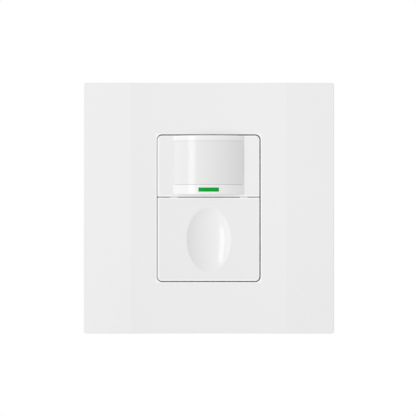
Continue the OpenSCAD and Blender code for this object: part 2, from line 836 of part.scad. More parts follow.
module chassis() color("#d6d7d8") panel() difference() {
    union() {
        difference() {
            union() {
                slab(rim_x, rim_y, rim_z, opening_corner, opening_corner);
                brick(tray_x, tray_y, [floor_z[0], rim_z[1]]);
            }
            brick(well_x, well_y, [floor_z[1], rim_z[1] + over]);
        }
        at_corners() rod([0, 0], boss_r, [sheet_z[1], floor_z[1] + boss_rise]);
        for (s = both) {
            rod([s * board_screw_x, board_screw_y], board_boss_r, [floor_z[0], board_boss_top]);
            mirror([(1 - s) / 2, 0, 0]) hinge_cheeks();
        }
        rod([0, spring_y], guide_r, [floor_z[0], floor_z[1] + guide_h]);
    }
    at_corners() rod([0, 0], shank_r + thread_gap, [sheet_z[1] - over, sheet_z[1] + screw_bite]);
    rod([0, pir_y], pir_r + pir_room, through_floor);
    rod([cell_x, pir_y], cell_r + pir_room, through_floor);
    brick(span(led_w + 2 * led_room), around(bar_y, bar_h + 2 * bar_room), through_floor);
    brick(span(tact_w + 2 * trimmer_room), around(tact_y, tact_w + 2 * trimmer_room), through_floor);
    for (s = both) {
        rod([s * board_screw_x, board_screw_y], board_screw_r + thread_gap,
            [floor_z[0] - over, board_boss_top - board_boss_cap]);
        brick(around(s * dial_x, trimmer_w + 2 * trimmer_room),
            around(dial_y, trimmer_w + 2 * trimmer_room), through_floor);
        brick(around(s * hook_x, hook_w + 2 * hook_gap), [tray_y[0] - over, well_y[0] + over],
            [floor_z[1], hook_end + hook_barb + post_gap]);
        mirror([(1 - s) / 2, 0, 0]) {
            hinge_bore();
            for (y = snap_y)
                brick([rim_x[1] - bead_d, rim_x[1] + over], around(y, bead_w + 2 * snap), grow(bead_z, snap));
        }
    }
}

// Control board and what it carries
pir_top = floor_z[0] + pir_h;

module control_board() color("#1f6b3a") panel() difference() {
    notched_board(control_x, control_y, control_z, control_x[1] - boss_at[0] + boss_r + tray_gap);
    for (s = both)
        rod([s * board_screw_x, board_screw_y], board_screw_r + board_hole_gap, grow(control_z, over));
}

module board_screws() color("#c9ccd0") panel()
    for (s = both)
        translate([s * board_screw_x, board_screw_y, control_z[0]]) rotate([180, 0, 0])
            screw(board_head_r, board_head_h, board_screw_r, board_t, board_screw_r,
                board_t + floor_t + board_bite);

module pir_can() color("#c8c9cc") panel() {
    rod([0, pir_y], pir_r, [floor_z[0], floor_z[0] + pir_flange_t]);
    difference() {
        rod([0, pir_y], pir_r - pir_flange, [floor_z[0], pir_top]);
        brick(span(pir_window_w), around(pir_y, pir_window_h), [pir_top - pir_window_d, pir_top + over]);
    }
}

module pir_window() color("#2b2330") panel()
    brick(span(pir_window_w), around(pir_y, pir_window_h),
        [pir_top - pir_window_d, pir_top - pir_window_d + pir_window_t]);

module photocell() color("#d9a05a") panel() {
    rod([cell_x, pir_y], cell_r, [floor_z[0], floor_z[0] + cell_rim]);
    rod([cell_x, pir_y], cell_r - cell_cap, [floor_z[0], floor_z[0] + cell_h]);
}

module status_led() color("#8fd9a0") panel()
    brick(span(led_w), around(bar_y, led_h), [floor_z[0], floor_z[0] + led_t]);

module tact_body() color("#26282b") panel() difference() {
    brick(span(tact_w), around(tact_y, tact_w), tact_z);
    rod([0, tact_y], plunger_r + running, [tact_z[1] - over, tact_z[1] + over]);
    rod([0, tact_y], plunger_r + tact_room, [tact_z[0] + tact_floor, tact_z[1] - tact_cap]);
}

module tact_plunger() color("#e6e2d6") panel() {
    rod([0, tact_y], plunger_r, [plunger_foot, plunger_top]);
    rod([0, tact_y], plunger_r + plunger_flange, [plunger_foot, tact_z[1] - tact_cap - slip]);
}

module trimmer_bodies() color("#2c5aa0") panel() difference() {
    for (s = both) brick(around(s * dial_x, trimmer_w), around(dial_y, trimmer_w), trimmer_z);
    for (s = both)
        rod([s * dial_x, dial_y], dial_shaft_r + running,
            [trimmer_z[1] - dial_shaft_in - dial_shaft_end, trimmer_z[1] + over]);
}

dial_z = [trimmer_z[1] + slip, trimmer_z[1] + slip + dial_t];

module setting_dial(x) difference() {
    union() {
        rod([x, dial_y], dial_r, dial_z);
        rod([x, dial_y], dial_shaft_r, [trimmer_z[1] - dial_shaft_in, middle(dial_z)]);
    }
    brick(around(x, 1.5 * dial_r), around(dial_y, dial_slot), [dial_z[1] - dial_slot_d, dial_z[1] + over]);
    brick(around(x, dial_slot), [dial_y, dial_y + 0.75 * dial_r],
        [dial_z[1] - dial_slot_d, dial_z[1] + over]);
}

module time_dial() color("#f0ead8") panel() setting_dial(-dial_x);

module light_dial() color("#f0ead8") panel() setting_dial(dial_x);

module microcontroller() color("#202225") panel()
    brick(span(mcu_w), span(mcu_w), [control_z[0] - mcu_t, control_z[0]]);

module chip_parts() color("#8c7a5c") panel() {
    for (i = chip_rows, s = both)
        brick(around(s * (chip_x + chip_stagger * abs(i % 2)), chip_w), around(chip_step * i, chip_h),
            [control_z[0] - chip_t, control_z[0]]);
    for (s = both)
        brick(around(s * block_cap_x, block_cap_w), around(block_cap_y, block_cap_h),
            [control_z[0] - block_cap_t, control_z[0]]);
}

module board_link() color("#2a2b2e") panel()
    brick(span(link_w), around(link_y, link_t), [power_z[1], control_z[0]]);

module insulator_sheet() color("#c7b98a") panel() difference() {
    slab(grow(cavity_x, -sheet_room), grow(cavity_y, -sheet_room), sheet_z, cavity_corner, cavity_corner);
    at_corners() rod([0, 0], shank_r + link_room, grow(sheet_z, over));
    brick(span(link_w + 2 * link_room), around(link_y, link_t + 2 * link_room), grow(sheet_z, over));
}

// Power board and what it carries

module power_board() color("#7a5a2a") panel()
    notched_board(power_x, power_y, power_z, power_x[1] - boss_at[0] + post_r + tray_gap);

module relay_base() color("#2f5f9e") panel() behind(relay_at)
    brick(span(relay_w), span(relay_l), [0, relay_foot]);

module relay_yoke() color("#9da1a6") panel() behind(relay_at) difference() {
    union() {
        brick(span(yoke_w), [-coil_r, hinge_y + yoke_t / 2], [relay_foot, relay_foot + yoke_t]);
        brick(span(yoke_w), around(hinge_y, yoke_t), [relay_foot, yoke_top]);
        for (s = both)
            mirror([(1 - s) / 2, 0, 0])
                brick([yoke_w / 2 - ear_t, yoke_w / 2], around(hinge_y, ear_w), ear_z);
    }
    rod_x(span(yoke_w + over), [hinge_y, hinge_h], hinge_r + running);
}

module relay_coil() color("#b5652b") panel() behind(relay_at) {
    for (z = [[coil_z[0], coil_z[0] + coil_flange_t], [coil_z[1] - coil_flange_t, coil_z[1]]])
        rod([0, 0], coil_r + coil_flange, z);
    rod([0, 0], coil_r, coil_z);
    rod([0, 0], core_r, [coil_z[0], core_top]);
}

module relay_armature() color("#8f9398") panel() behind(relay_at) {
    brick(span(armature_w), [armature_end, hinge_y + yoke_t / 2], armature_z);
    rod_x(span(armature_w), [hinge_y, hinge_h], hinge_r);
    rod_x(span(yoke_w - 2 * slip), [hinge_y, hinge_h], hinge_r);
    brick(span(leaf_w), [contact_y - contact_r, -coil_r], around(middle(armature_z), leaf_t));
    rod([0, contact_y], contact_r, [contact_top + contact_gap, middle(armature_z)]);
}

module relay_contact() color("#c98f4a") panel() behind(relay_at) {
    brick(span(contact_w), around(contact_y, contact_t), [relay_foot, contact_top - contact_t / 2]);
    rod([0, contact_y], contact_r, [contact_top - contact_t, contact_top]);
}

module relay_case() color("#30343a") panel() behind(relay_at) difference() {
    brick(span(relay_w), span(relay_l), [relay_foot, relay_h]);
    brick(span(relay_w - 2 * relay_wall), span(relay_l - 2 * relay_wall), [0, relay_h - relay_wall]);
}

module bulk_capacitor() color("#3b2f63") panel() behind(bulk_at) {
    rod([0, 0], bulk_r, [bulk_bead, bulk_h]);
    rod([0, 0], bulk_r - bulk_bead, [0, bulk_h + bulk_bead]);
}

module film_capacitor() color("#c9a227") panel() behind(film_at)
    brick(span(film_w), span(film_l), [0, film_h]);

module varistor() color("#2d4f8f") panel() behind(varistor_at) {
    rod_x(span(varistor_t), [0, varistor_z], varistor_r);
    brick(span(varistor_leg_t), span(varistor_leg_w), [0, varistor_z - varistor_r / 2]);
}

module fuse() color("#3a2a24") panel() behind(fuse_at) rod([0, 0], fuse_r, [0, fuse_h]);

module inductor() color("#5d5f63") panel() behind(inductor_at) {
    for (z = [[0, inductor_flange], [inductor_h - inductor_flange, inductor_h]]) rod([0, 0], inductor_r, z);
    rod([0, 0], inductor_core, [0, inductor_h]);
}

module rectifier() color("#1f2124") panel() behind(rectifier_at)
    brick(span(rectifier_w), span(rectifier_t), [0, rectifier_h]);

// Terminals and rear housing

module terminal_plates() color("#c9a45c") panel()
    for (place = terminal_places)
        translate([0, place[1], 0]) mirror([(1 - place[0]) / 2, 0, 0]) difference() {
            union() {
                brick(terminal_x, span(terminal_w), around(terminal_z, terminal_h));
                brick([tail_x, terminal_x[1]], span(tail_w), tail_z);
                brick([tail_x, tail_x + tail_t], span(tail_w), [tail_z[0], power_z[0]]);
            }
            rod_x(grow(terminal_x, over), [0, terminal_z], terminal_screw_r + thread_gap);
        }

module terminal_screws() color("#d9b96a") panel()
    for (place = terminal_places)
        mirror([(1 - place[0]) / 2, 0, 0])
            translate([terminal_x[1] + slip, place[1], terminal_z]) rotate([0, 90, 0])
                screw(terminal_head_r, terminal_head_h, terminal_screw_r, terminal_t, terminal_screw_r,
                    terminal_screw_l);

rib_z = [cavity_back - housing_wall / 2, power_z[0]];

module rear_housing() color("#4a4d52") panel() difference() {
    union() {
        difference() {
            slab(housing_x, housing_y, [-housing_d, 0], housing_corner, housing_corner);
            slab(cavity_x, cavity_y, [cavity_back, over], cavity_corner, cavity_corner);
        }
        at_corners() rod([0, 0], post_r, [cavity_back - housing_wall / 2, sheet_z[0]]);
        for (s = both) {
            mirror([(1 - s) / 2, 0, 0])
                brick([cavity_x[1] - rib_in, cavity_x[1] + housing_wall / 2], span(rib_w), rib_z);
            mirror([0, (1 - s) / 2, 0])
                brick(span(rib_w), [cavity_y[1] - rib_in, cavity_y[1] + housing_wall / 2], rib_z);
        }
    }
    at_corners() {
        rod([0, 0], shank_r + link_room, [-housing_d - over, over]);
        rod([0, 0], driver_r, [-housing_d - over, sheet_z[0] - post_web]);
    }
    for (place = terminal_places)
        mirror([(1 - place[0]) / 2, 0, 0])
            brick([cavity_x[1] - over, housing_x[1] + over], around(place[1], terminal_w + 2 * snap),
                around(terminal_z, terminal_h + 2 * snap));
}

module housing_screws() color("#c9ccd0") panel()
    at_corners()
        translate([0, 0, sheet_z[0] - post_web]) rotate([180, 0, 0])
            screw(screw_head_r, screw_head_h, shank_r, post_web, shank_r,
                post_web + sheet_t + screw_bite - bite_spare);

wall_plate();
mounting_frame();
box_screws();
ground_screw();
front_cover();
fresnel_lens();
lens_retainer();
light_pipe();
push_button();
button_spring();
chassis();
control_board();
board_screws();
pir_can();
pir_window();
photocell();
status_led();
tact_body();
tact_plunger();
trimmer_bodies();
time_dial();
light_dial();
microcontroller();
chip_parts();
board_link();
insulator_sheet();
power_board();
relay_base();
relay_yoke();
relay_coil();
relay_armature();
relay_contact();
relay_case();
bulk_capacitor();
film_capacitor();
varistor();
fuse();
inductor();
rectifier();
terminal_plates();
terminal_screws();
rear_housing();
housing_screws();
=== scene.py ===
import json
import math

import bmesh
import bpy
import numpy as np
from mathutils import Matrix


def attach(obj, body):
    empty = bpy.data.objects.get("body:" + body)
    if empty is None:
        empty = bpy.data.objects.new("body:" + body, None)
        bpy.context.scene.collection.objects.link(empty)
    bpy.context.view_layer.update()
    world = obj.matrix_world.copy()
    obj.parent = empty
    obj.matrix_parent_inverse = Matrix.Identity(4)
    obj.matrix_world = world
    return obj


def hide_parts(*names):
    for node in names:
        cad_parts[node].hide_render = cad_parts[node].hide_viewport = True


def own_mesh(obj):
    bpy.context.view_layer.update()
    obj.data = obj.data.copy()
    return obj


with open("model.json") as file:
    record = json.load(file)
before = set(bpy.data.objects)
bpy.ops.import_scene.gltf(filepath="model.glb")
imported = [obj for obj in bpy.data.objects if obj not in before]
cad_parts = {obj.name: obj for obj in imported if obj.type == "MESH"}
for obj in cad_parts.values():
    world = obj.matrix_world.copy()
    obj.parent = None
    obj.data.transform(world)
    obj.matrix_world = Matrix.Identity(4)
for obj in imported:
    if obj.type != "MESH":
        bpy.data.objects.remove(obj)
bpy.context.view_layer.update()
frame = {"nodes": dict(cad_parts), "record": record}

print("stage: frame loaded,", len(frame["nodes"]), "solids")

# shapes are worked out in millimetres, with x right, y up and z out of the wall
millimetre = 0.001
quarterTurn = math.pi / 2
meshing = {"cornerSteps": 6, "edgeSteps": 6, "weld": 1e-6, "sharpAngle": 40.0, "near": 1e-6}


def toWorld(points):
    # right stays, out of the wall becomes minus y, up becomes z, millimetres become metres
    return np.stack([points[:, 0], -points[:, 2], points[:, 1]], axis=1) * millimetre


def around(middle, half):
    # the stretch that reaches half to either side of the middle
    return (middle - half, middle + half)


def sideSpan(side, ends):
    # a stretch on the right for side 1, its mirror image on the left for side -1
    return tuple(sorted(side * end for end in ends))


def gridLines(span, inset, count):
    # evenly spaced lines along a stretch, starting and ending the inset within it
    return np.linspace(span[0] + inset, span[1] - inset, count)


def circle(steps):
    # even angles once round
    return np.linspace(0.0, 2 * math.pi, steps, endpoint=False)


def level(height):
    # a flat surface: the same height at every x and y
    return lambda x, y: np.full(x.shape, height)


def lift(flat, height):
    # a row of flat points gets its height as third coordinate
    return np.column_stack([flat, np.broadcast_to(height, len(flat))])


def layOn(flat, surface, drop=0.0):
    # a row of flat points gets the height of surface(x, y), less the drop
    return lift(flat, surface(flat[:, 0], flat[:, 1]) - drop)


def gridPart(points, closed=False):
    # a grid of points becomes one quad per cell; closed joins the last column to the first
    rows, columns = points.shape[:2]
    row = np.arange(rows - 1)[:, None] * columns
    column = np.arange(columns if closed else columns - 1)[None, :]
    following = (column + 1) % columns
    corners = (row + column, row + following, row + columns + following, row + columns + column)
    return points.reshape(-1, 3), np.stack(corners, axis=-1).reshape(-1, 4)


def loftPart(rows):
    # rows of points that each run once round, joined row to row
    return gridPart(np.stack(rows), closed=True)


def sheetPart(xs, ys, surface, hole=None):
    # surface(x, y) over the grid xs by ys, without the cells whose middle lies in the hole; a hole is half
    # its width, half its height and the height of its middle
    x, y = np.meshgrid(xs, ys)
    points, faces = gridPart(np.stack([x, y, surface(x, y)], axis=-1))
    if hole is not None:
        middle = points[faces].mean(axis=1)
        inside = (np.abs(middle[:, 0]) < hole[0]) & (np.abs(middle[:, 1] - hole[2]) < hole[1])
        faces = faces[~inside]
    return points, faces


def loopRound(xs, ys):
    # the border points of a grid, once round from its lower left corner
    x = np.concatenate([xs[:-1], np.full(len(ys) - 1, xs[-1]), xs[:0:-1], np.full(len(ys) - 1, xs[0])])
    y = np.concatenate([np.full(len(xs) - 1, ys[0]), ys[:-1], np.full(len(xs) - 1, ys[-1]), ys[:0:-1]])
    return np.stack([x, y], axis=1)


def rimPath(xs, ys, inset, radii):
    # once round the rectangle xs by ys: beside a side the outline lies the inset further out, and at a
    # corner it is an arc of that corner's radius; radii run from the lower right corner anticlockwise
    bend = np.linspace(0.0, quarterTurn, meshing["cornerSteps"] + 1)
    sides = (
        (xs[1:-1], np.full(len(xs) - 2, ys[0])),
        (np.full(len(ys) - 2, xs[-1]), ys[1:-1]),
        (xs[-2:0:-1], np.full(len(xs) - 2, ys[-1])),
        (np.full(len(ys) - 2, xs[0]), ys[-2:0:-1]),
    )
    corners = ((xs[-1], ys[0]), (xs[-1], ys[-1]), (xs[0], ys[-1]), (xs[0], ys[0]))
    base, normal, outline = [], [], []
    for turns, side, corner, radius in zip((-1, 0, 1, 2), sides, corners, radii):
        angle = bend + turns * quarterTurn
        arc = np.stack([np.cos(angle), np.sin(angle)], axis=1)
        along = np.stack(side, axis=1)
        point = np.broadcast_to(np.array(corner), arc.shape)
        base += [along, point]
        normal += [np.broadcast_to(arc[0], along.shape), arc]
        outline += [along + inset * arc[0], point + (inset - radius) * (arc[0] + arc[-1]) + radius * arc]
    return np.concatenate(base), np.concatenate(normal), np.concatenate(outline)


def trayParts(tray, xs, ys, top, foot, hole=None):
    # top(x, y) over the middle, a quarter round of the edge radius down to the side, the side down to
    # foot(x, y); then an inner wall up to the ceiling, or a back at foot(x, y) where no wall is given
    base, normal, outline = rimPath(xs, ys, tray["inset"], tray["radii"])
    edge, lip = tray["edge"], tray["lip"]
    shoulder = outline - edge * normal
    rows = [layOn(flat, top) for flat in (base, (base + shoulder) / 2, shoulder)]
    for turn in np.linspace(0.0, quarterTurn, meshing["edgeSteps"] + 1)[1:]:
        flat = outline - edge * (1 - math.sin(turn)) * normal
        rows.append(layOn(flat, top, edge * (1 - math.cos(turn))))
    low = foot(outline[:, 0], outline[:, 1])
    rows += [lift(outline, low + lip), lift(outline - lip * normal, low)]
    parts = [sheetPart(xs, ys, top, hole)]
    if tray["wall"] is None:
        rows.append(layOn(base, foot))
        parts.append(sheetPart(xs, ys, foot))
    else:
        middle = np.array([xs[0] + xs[-1], ys[0] + ys[-1]]) / 2
        half = np.array([xs[-1] - xs[0], ys[-1] - ys[0]]) / 2
        inner = half - (tray["wall"] - tray["inset"])
        wall = middle + (base - middle) * inner / half
        mouth = middle + (base - middle) * (inner + lip) / half
        rows += [lift(mouth, low), lift(wall, low + lip), lift(wall, tray["ceiling"])]
        scaleX, scaleY = inner / half
        backX = middle[0] + (xs - middle[0]) * scaleX
        backY = middle[1] + (ys - middle[1]) * scaleY
        backHole = None if hole is None else (hole[0] * scaleX, hole[1] * scaleY, hole[2] * scaleY)
        parts.append(sheetPart(backX, backY, level(tray["ceiling"]), backHole))
    return parts + [loftPart(rows)]


def barParts(x, y, z, soft=0.15):
    # a bar between two corners with softened edges
    inset = 1.5 * soft
    tray = {"inset": inset, "radii": (soft,) * 4, "edge": soft, "lip": soft / 2, "wall": None}
    return trayParts(tray, gridLines(x, inset, 3), gridLines(y, inset, 3), level(z[1]), level(z[0]))


def turnedPart(rings, at, way, angle):
    # rings of radius and height carried round an axis from the point at along way: radius times the cosine
    # and sine of the angle lie across the axis, the height along it; a radius may change with the angle
    radius = np.stack([np.broadcast_to(reach, angle.shape) for reach, _ in rings])
    height = np.broadcast_to(np.array([[high] for _, high in rings]), radius.shape)
    basis = np.stack([np.cross((0, 1, 0), way), (0, 1, 0), way])
    points = np.stack([radius * np.cos(angle), radius * np.sin(angle), height], axis=-1) @ basis
    return gridPart(points + np.array(at), closed=True)


# shader groups: each reads Object coordinates and puts out values that change over the surface


def newGroup(name, inputs, outputs):
    # an empty group of number sockets; inputs holds the value that each has unless a material sets it
    group = bpy.data.node_groups.new(name, "ShaderNodeTree")
    for label, value in inputs.items():
        socket = group.interface.new_socket(label, in_out="INPUT", socket_type="NodeSocketFloat")
        socket.default_value = value
    for label in outputs:
        group.interface.new_socket(label, in_out="OUTPUT", socket_type="NodeSocketFloat")
    return group, group.nodes.new("NodeGroupInput").outputs, group.nodes.new("NodeGroupOutput").inputs


def objectPlace(tree):
    # the piece's own coordinates
    return tree.nodes.new("ShaderNodeTexCoord").outputs["Object"]


def noiseInto(tree, place, scale, detail, rough=0.5):
    # a noise over the place, as fine as the group's input says
    noise = tree.nodes.new("ShaderNodeTexNoise")
    noise.inputs["Detail"].default_value = detail
    noise.inputs["Roughness"].default_value = rough
    tree.links.new(place, noise.inputs["Vector"])
    tree.links.new(scale, noise.inputs["Scale"])
    return noise.outputs["Fac"]


def mathInto(tree, operation, *values):
    # a plain number is set on its socket, anything else is linked to it
    node = tree.nodes.new("ShaderNodeMath")
    node.operation = operation
    for socket, value in zip(node.inputs, values):
        if isinstance(value, float):
            socket.default_value = value
        else:
            tree.links.new(value, socket)
    return node.outputs["Value"]


def rangeInto(tree, value, reach, ends, ease="LINEAR"):
    # as the value goes through its reach, the result goes from the first of ends to the second
    node = tree.nodes.new("ShaderNodeMapRange")
    node.interpolation_type = ease
    for label, number in zip(("From Min", "From Max", "To Min", "To Max"), (*reach, *ends)):
        node.inputs[label].default_value = number
    tree.links.new(value, node.inputs["Value"])
    return node.outputs["Result"]


def makeMouldGroup():
    # moulded skin: fine grain for the bump, slow flow marks for the colour, handling marks for the gloss
    inputs = {"Grain": 9000.0, "Flow": 30.0, "Marks": 140.0}
    group, start, end = newGroup("mouldedSkin", inputs, ("Height", "Cloud", "Gloss"))
    place = objectPlace(group)
    group.links.new(noiseInto(group, place, start["Grain"], detail=3.0), end["Height"])
    group.links.new(noiseInto(group, place, start["Flow"], detail=2.0), end["Cloud"])
    group.links.new(noiseInto(group, place, start["Marks"], detail=4.0, rough=0.65), end["Gloss"])
    return group


def makeMetalGroup():
    # rolled or drawn metal: noise pulled long along x for the brush lines, blotches for the plating
    group, start, end = newGroup("platedMetal", {"Lines": 900.0, "Blotch": 160.0}, ("Lines", "Blotch"))
    place = objectPlace(group)
    pull = group.nodes.new("ShaderNodeMapping")
    pull.inputs["Scale"].default_value = (0.06, 1.0, 1.0)
    group.links.new(place, pull.inputs["Vector"])
    group.links.new(noiseInto(group, pull.outputs["Vector"], start["Lines"], detail=3.0), end["Lines"])
    group.links.new(noiseInto(group, place, start["Blotch"], detail=5.0, rough=0.6), end["Blotch"])
    return group


def makeLayerGroup():
    # laminate or winding: fine even bands across z, and a weave of two crossing bands
    group, start, end = newGroup("layeredStock", {"Bands": 1200.0}, ("Bands", "Weave"))
    place = objectPlace(group)
    waves = []
    for direction in ("X", "Z"):
        wave = group.nodes.new("ShaderNodeTexWave")
        wave.bands_direction = direction
        wave.inputs["Distortion"].default_value = 0.6
        group.links.new(place, wave.inputs["Vector"])
        group.links.new(start["Bands"], wave.inputs["Scale"])
        waves.append(wave.outputs["Fac"])
    group.links.new(waves[1], end["Bands"])
    group.links.new(mathInto(group, "MULTIPLY", *waves), end["Weave"])
    return group


def makeHighlightRimGroup():
    # how near a point lies to an upright rectangle's outline: one less the gap to it over the width,
    # and zero further away. It is the mask of the painted highlight along the window's edges
    inputs = {"Half Across": 0.024, "Half Up": 0.034, "Middle Up": 0.0, "Width": 0.001}
    group, start, end = newGroup("windowRim", inputs, ("Near",))
    split = group.nodes.new("ShaderNodeSeparateXYZ")
    group.links.new(objectPlace(group), split.inputs["Vector"])
    up = mathInto(group, "SUBTRACT", split.outputs["Z"], start["Middle Up"])
    past = []
    for place, label in ((split.outputs["X"], "Half Across"), (up, "Half Up")):
        past.append(mathInto(group, "SUBTRACT", mathInto(group, "ABSOLUTE", place), start[label]))
    gap = mathInto(group, "ABSOLUTE", mathInto(group, "MAXIMUM", *past))
    near = mathInto(group, "SUBTRACT", 1.0, mathInto(group, "DIVIDE", gap, start["Width"]))
    group.links.new(mathInto(group, "MAXIMUM", near, 0.0), end["Near"])
    return group


mouldGroup = makeMouldGroup()
highlightRimGroup = makeHighlightRimGroup()
metalGroup = makeMetalGroup()
layerGroup = makeLayerGroup()

# finishes: colour, gloss and bump of each follow the marks of its group

skinMarks = {
    "noiseReach": (0.3, 0.7),  # nearly all of a noise lies between these
    "metalGloss": (0.8, 1.25), "metalDepth": 4e-6,  # gloss: least and most share of a finish's roughness
    "layerGloss": (0.9, 1.1), "layerDepth": 3e-5, "layerStrength": 0.6,
}


def startMaterial(name):
    # a new material with its tree and its shader
    material = bpy.data.materials.new(name)
    material.use_nodes = True
    return material, material.node_tree, material.node_tree.nodes["Principled BSDF"]


def placeGroup(tree, group, values):
    # a group with this material's own values
    node = tree.nodes.new("ShaderNodeGroup")
    node.node_tree = group
    for label, value in values.items():
        node.inputs[label].default_value = value
    return node.outputs


def colourSpread(tree, factor, colour, spread, target):
    # the colour runs from a little darker to a little lighter over the reach of the noise
    ramp = tree.nodes.new("ShaderNodeValToRGB")
    gains = (1 - spread, 1 + spread)
    for stop, place, gain in zip(ramp.color_ramp.elements, skinMarks["noiseReach"], gains):
        stop.position = place
        stop.color = tuple(min(1.0, channel * gain) for channel in colour) + (1.0,)
    tree.links.new(factor, ramp.inputs["Fac"])
    tree.links.new(ramp.outputs["Color"], target)


def roughSpread(tree, factor, rough, shares, shader):
    # the roughness runs from its least share to its most over the reach of the noise
    ends = [rough * share for share in shares]
    tree.links.new(rangeInto(tree, factor, skinMarks["noiseReach"], ends), shader.inputs["Roughness"])


def bumpInto(tree, height, depth, shader, strength=1.0):
    # heights from 0 to 1 raise the surface by up to the depth, in metres
    bump = tree.nodes.new("ShaderNodeBump")
    bump.inputs["Distance"].default_value = depth
    bump.inputs["Strength"].default_value = strength
    tree.links.new(height, bump.inputs["Height"])
    tree.links.new(bump.outputs["Normal"], shader.inputs["Normal"])


def mouldedPlastic(name, colour, rough, spread, gloss=(0.92, 1.08), grain=9000.0, flow=30.0, depth=2e-6):
    # a slightly cloudy colour, uneven gloss and a fine grain
    material, tree, shader = startMaterial(name)
    skin = placeGroup(tree, mouldGroup, {"Grain": grain, "Flow": flow})
    colourSpread(tree, skin["Cloud"], colour, spread, shader.inputs["Base Color"])
    roughSpread(tree, skin["Gloss"], rough, gloss, shader)
    bumpInto(tree, skin["Height"], depth, shader)
    return material


def paintedRimHighlightPlastic(name, colour, rough, rim, spread=0.004, rubbed=(0.97, 0.97, 0.965)):
    # moulded plastic with a painted highlight: its colour turns lighter near the window's outline
    material = mouldedPlastic(name, colour, rough, spread)
    tree = material.node_tree
    target = tree.nodes["Principled BSDF"].inputs["Base Color"]
    # painted highlight: the colour is mixed towards near white close to the window's outline
    mix = tree.nodes.new("ShaderNodeMix")
    mix.data_type = "RGBA"
    mix.inputs["B"].default_value = rubbed + (1.0,)
    tree.links.new(placeGroup(tree, highlightRimGroup, rim)["Near"], mix.inputs["Factor"])
    tree.links.new(target.links[0].from_socket, mix.inputs["A"])
    tree.links.new(mix.outputs["Result"], target)
    return material


def litPlastic(name, colour, rough, gloss, spread, flow, glow, strength, specular):
    # tinted plastic lit from behind: tint and glow grow darker and lighter together
    material, tree, shader = startMaterial(name)
    skin = placeGroup(tree, mouldGroup, {"Flow": flow})
    colourSpread(tree, skin["Cloud"], colour, spread, shader.inputs["Base Color"])
    colourSpread(tree, skin["Cloud"], glow, spread, shader.inputs["Emission Color"])
    roughSpread(tree, skin["Gloss"], rough, gloss, shader)
    shader.inputs["Emission Strength"].default_value = strength
    shader.inputs["Specular IOR Level"].default_value = specular
    return material


def platedMetal(name, colour, rough, spread=0.08, lines=900.0):
    # a blotchy colour, with gloss and bump along the brush lines
    material, tree, shader = startMaterial(name)
    skin = placeGroup(tree, metalGroup, {"Lines": lines})
    colourSpread(tree, skin["Blotch"], colour, spread, shader.inputs["Base Color"])
    roughSpread(tree, skin["Lines"], rough, skinMarks["metalGloss"], shader)
    bumpInto(tree, skin["Lines"], skinMarks["metalDepth"], shader)
    shader.inputs["Metallic"].default_value = 1.0
    return material


def layeredStock(name, colour, rough, spread, bands, metallic=0.0, output="Weave"):
    # colour, gloss and bump all follow the weave or the bands
    material, tree, shader = startMaterial(name)
    skin = placeGroup(tree, layerGroup, {"Bands": bands})
    colourSpread(tree, skin[output], colour, spread, shader.inputs["Base Color"])
    roughSpread(tree, skin[output], rough, skinMarks["layerGloss"], shader)
    bumpInto(tree, skin[output], skinMarks["layerDepth"], shader, skinMarks["layerStrength"])
    shader.inputs["Metallic"].default_value = metallic
    return material


# what each slot is made of; a colour that isn't given here is the record's own
finishOf = {
    # the three white plastics carry a painted highlight along the window's outline
    "plate_white": (paintedRimHighlightPlastic, {
        "colour": (0.864, 0.864, 0.862), "rough": 0.13,
        "rim": {"Half Across": 0.0239, "Half Up": 0.03395},
    }),
    "cover_white": (paintedRimHighlightPlastic, {
        "colour": (0.862, 0.862, 0.859), "rough": 0.12,
        "rim": {"Half Across": 0.0236, "Half Up": 0.0142, "Middle Up": 0.0195},
    }),
    "button_white": (paintedRimHighlightPlastic, {
        "colour": (0.849, 0.849, 0.847), "rough": 0.11,
        "rim": {"Half Across": 0.0236, "Half Up": 0.0193, "Middle Up": -0.0144},
    }),
    "lens_milk": (mouldedPlastic, {
        "colour": (0.797, 0.797, 0.794), "rough": 0.1, "gloss": (1.0, 1.3),
        "spread": 0.003, "flow": 90.0, "depth": 1e-6,
    }),
    "status_green": (litPlastic, {
        "colour": (0.002, 0.27, 0.026), "rough": 0.2, "gloss": (1.1, 1.5), "spread": 0.06, "flow": 400.0,
        "glow": (0.002, 0.1, 0.012), "strength": 0.9, "specular": 0.06,
    }),
    "zinc_steel": (platedMetal, {
        "colour": (0.58, 0.6, 0.62), "rough": 0.36, "spread": 0.12, "lines": 700.0,
    }),
    "screw_steel": (platedMetal, {"colour": (0.62, 0.62, 0.6), "rough": 0.3, "lines": 1800.0}),
    "spring_steel": (platedMetal, {"rough": 0.25, "lines": 2500.0}),
    "terminal_brass": (platedMetal, {"colour": (0.72, 0.52, 0.2), "rough": 0.28, "lines": 1500.0}),
    "ground_green": (platedMetal, {
        "colour": (0.05, 0.3, 0.1), "rough": 0.34, "spread": 0.15, "lines": 1500.0,
    }),
    "sensor_can": (platedMetal, {"rough": 0.26}),
    "relay_iron": (platedMetal, {"rough": 0.4}),
    "coil_copper": (layeredStock, {
        "rough": 0.35, "spread": 0.25, "bands": 900.0, "metallic": 1.0, "output": "Bands",
    }),
    "board_green": (layeredStock, {"rough": 0.38, "spread": 0.15, "bands": 700.0}),
    "board_tan": (layeredStock, {"rough": 0.5, "spread": 0.15, "bands": 900.0}),
    "sheet_tan": (layeredStock, {"rough": 0.7, "spread": 0.1, "bands": 1500.0}),
    "housing_grey": (mouldedPlastic, {
        "colour": (0.085, 0.09, 0.098), "rough": 0.5, "spread": 0.06, "grain": 2600.0, "depth": 2e-5,
    }),
    "chassis_grey": (mouldedPlastic, {"rough": 0.45, "spread": 0.02, "grain": 4000.0, "depth": 6e-6}),
}
plainFinish = (mouldedPlastic, {"rough": 0.42, "spread": 0.05, "grain": 4000.0})

slotColour = {row["slot"]: tuple(row["base_color"]) for row in frame["record"]["materials"]}
nodeSlot = {row["node"]: row["material_slot"] for row in frame["record"]["subparts"]}
finishes = {}


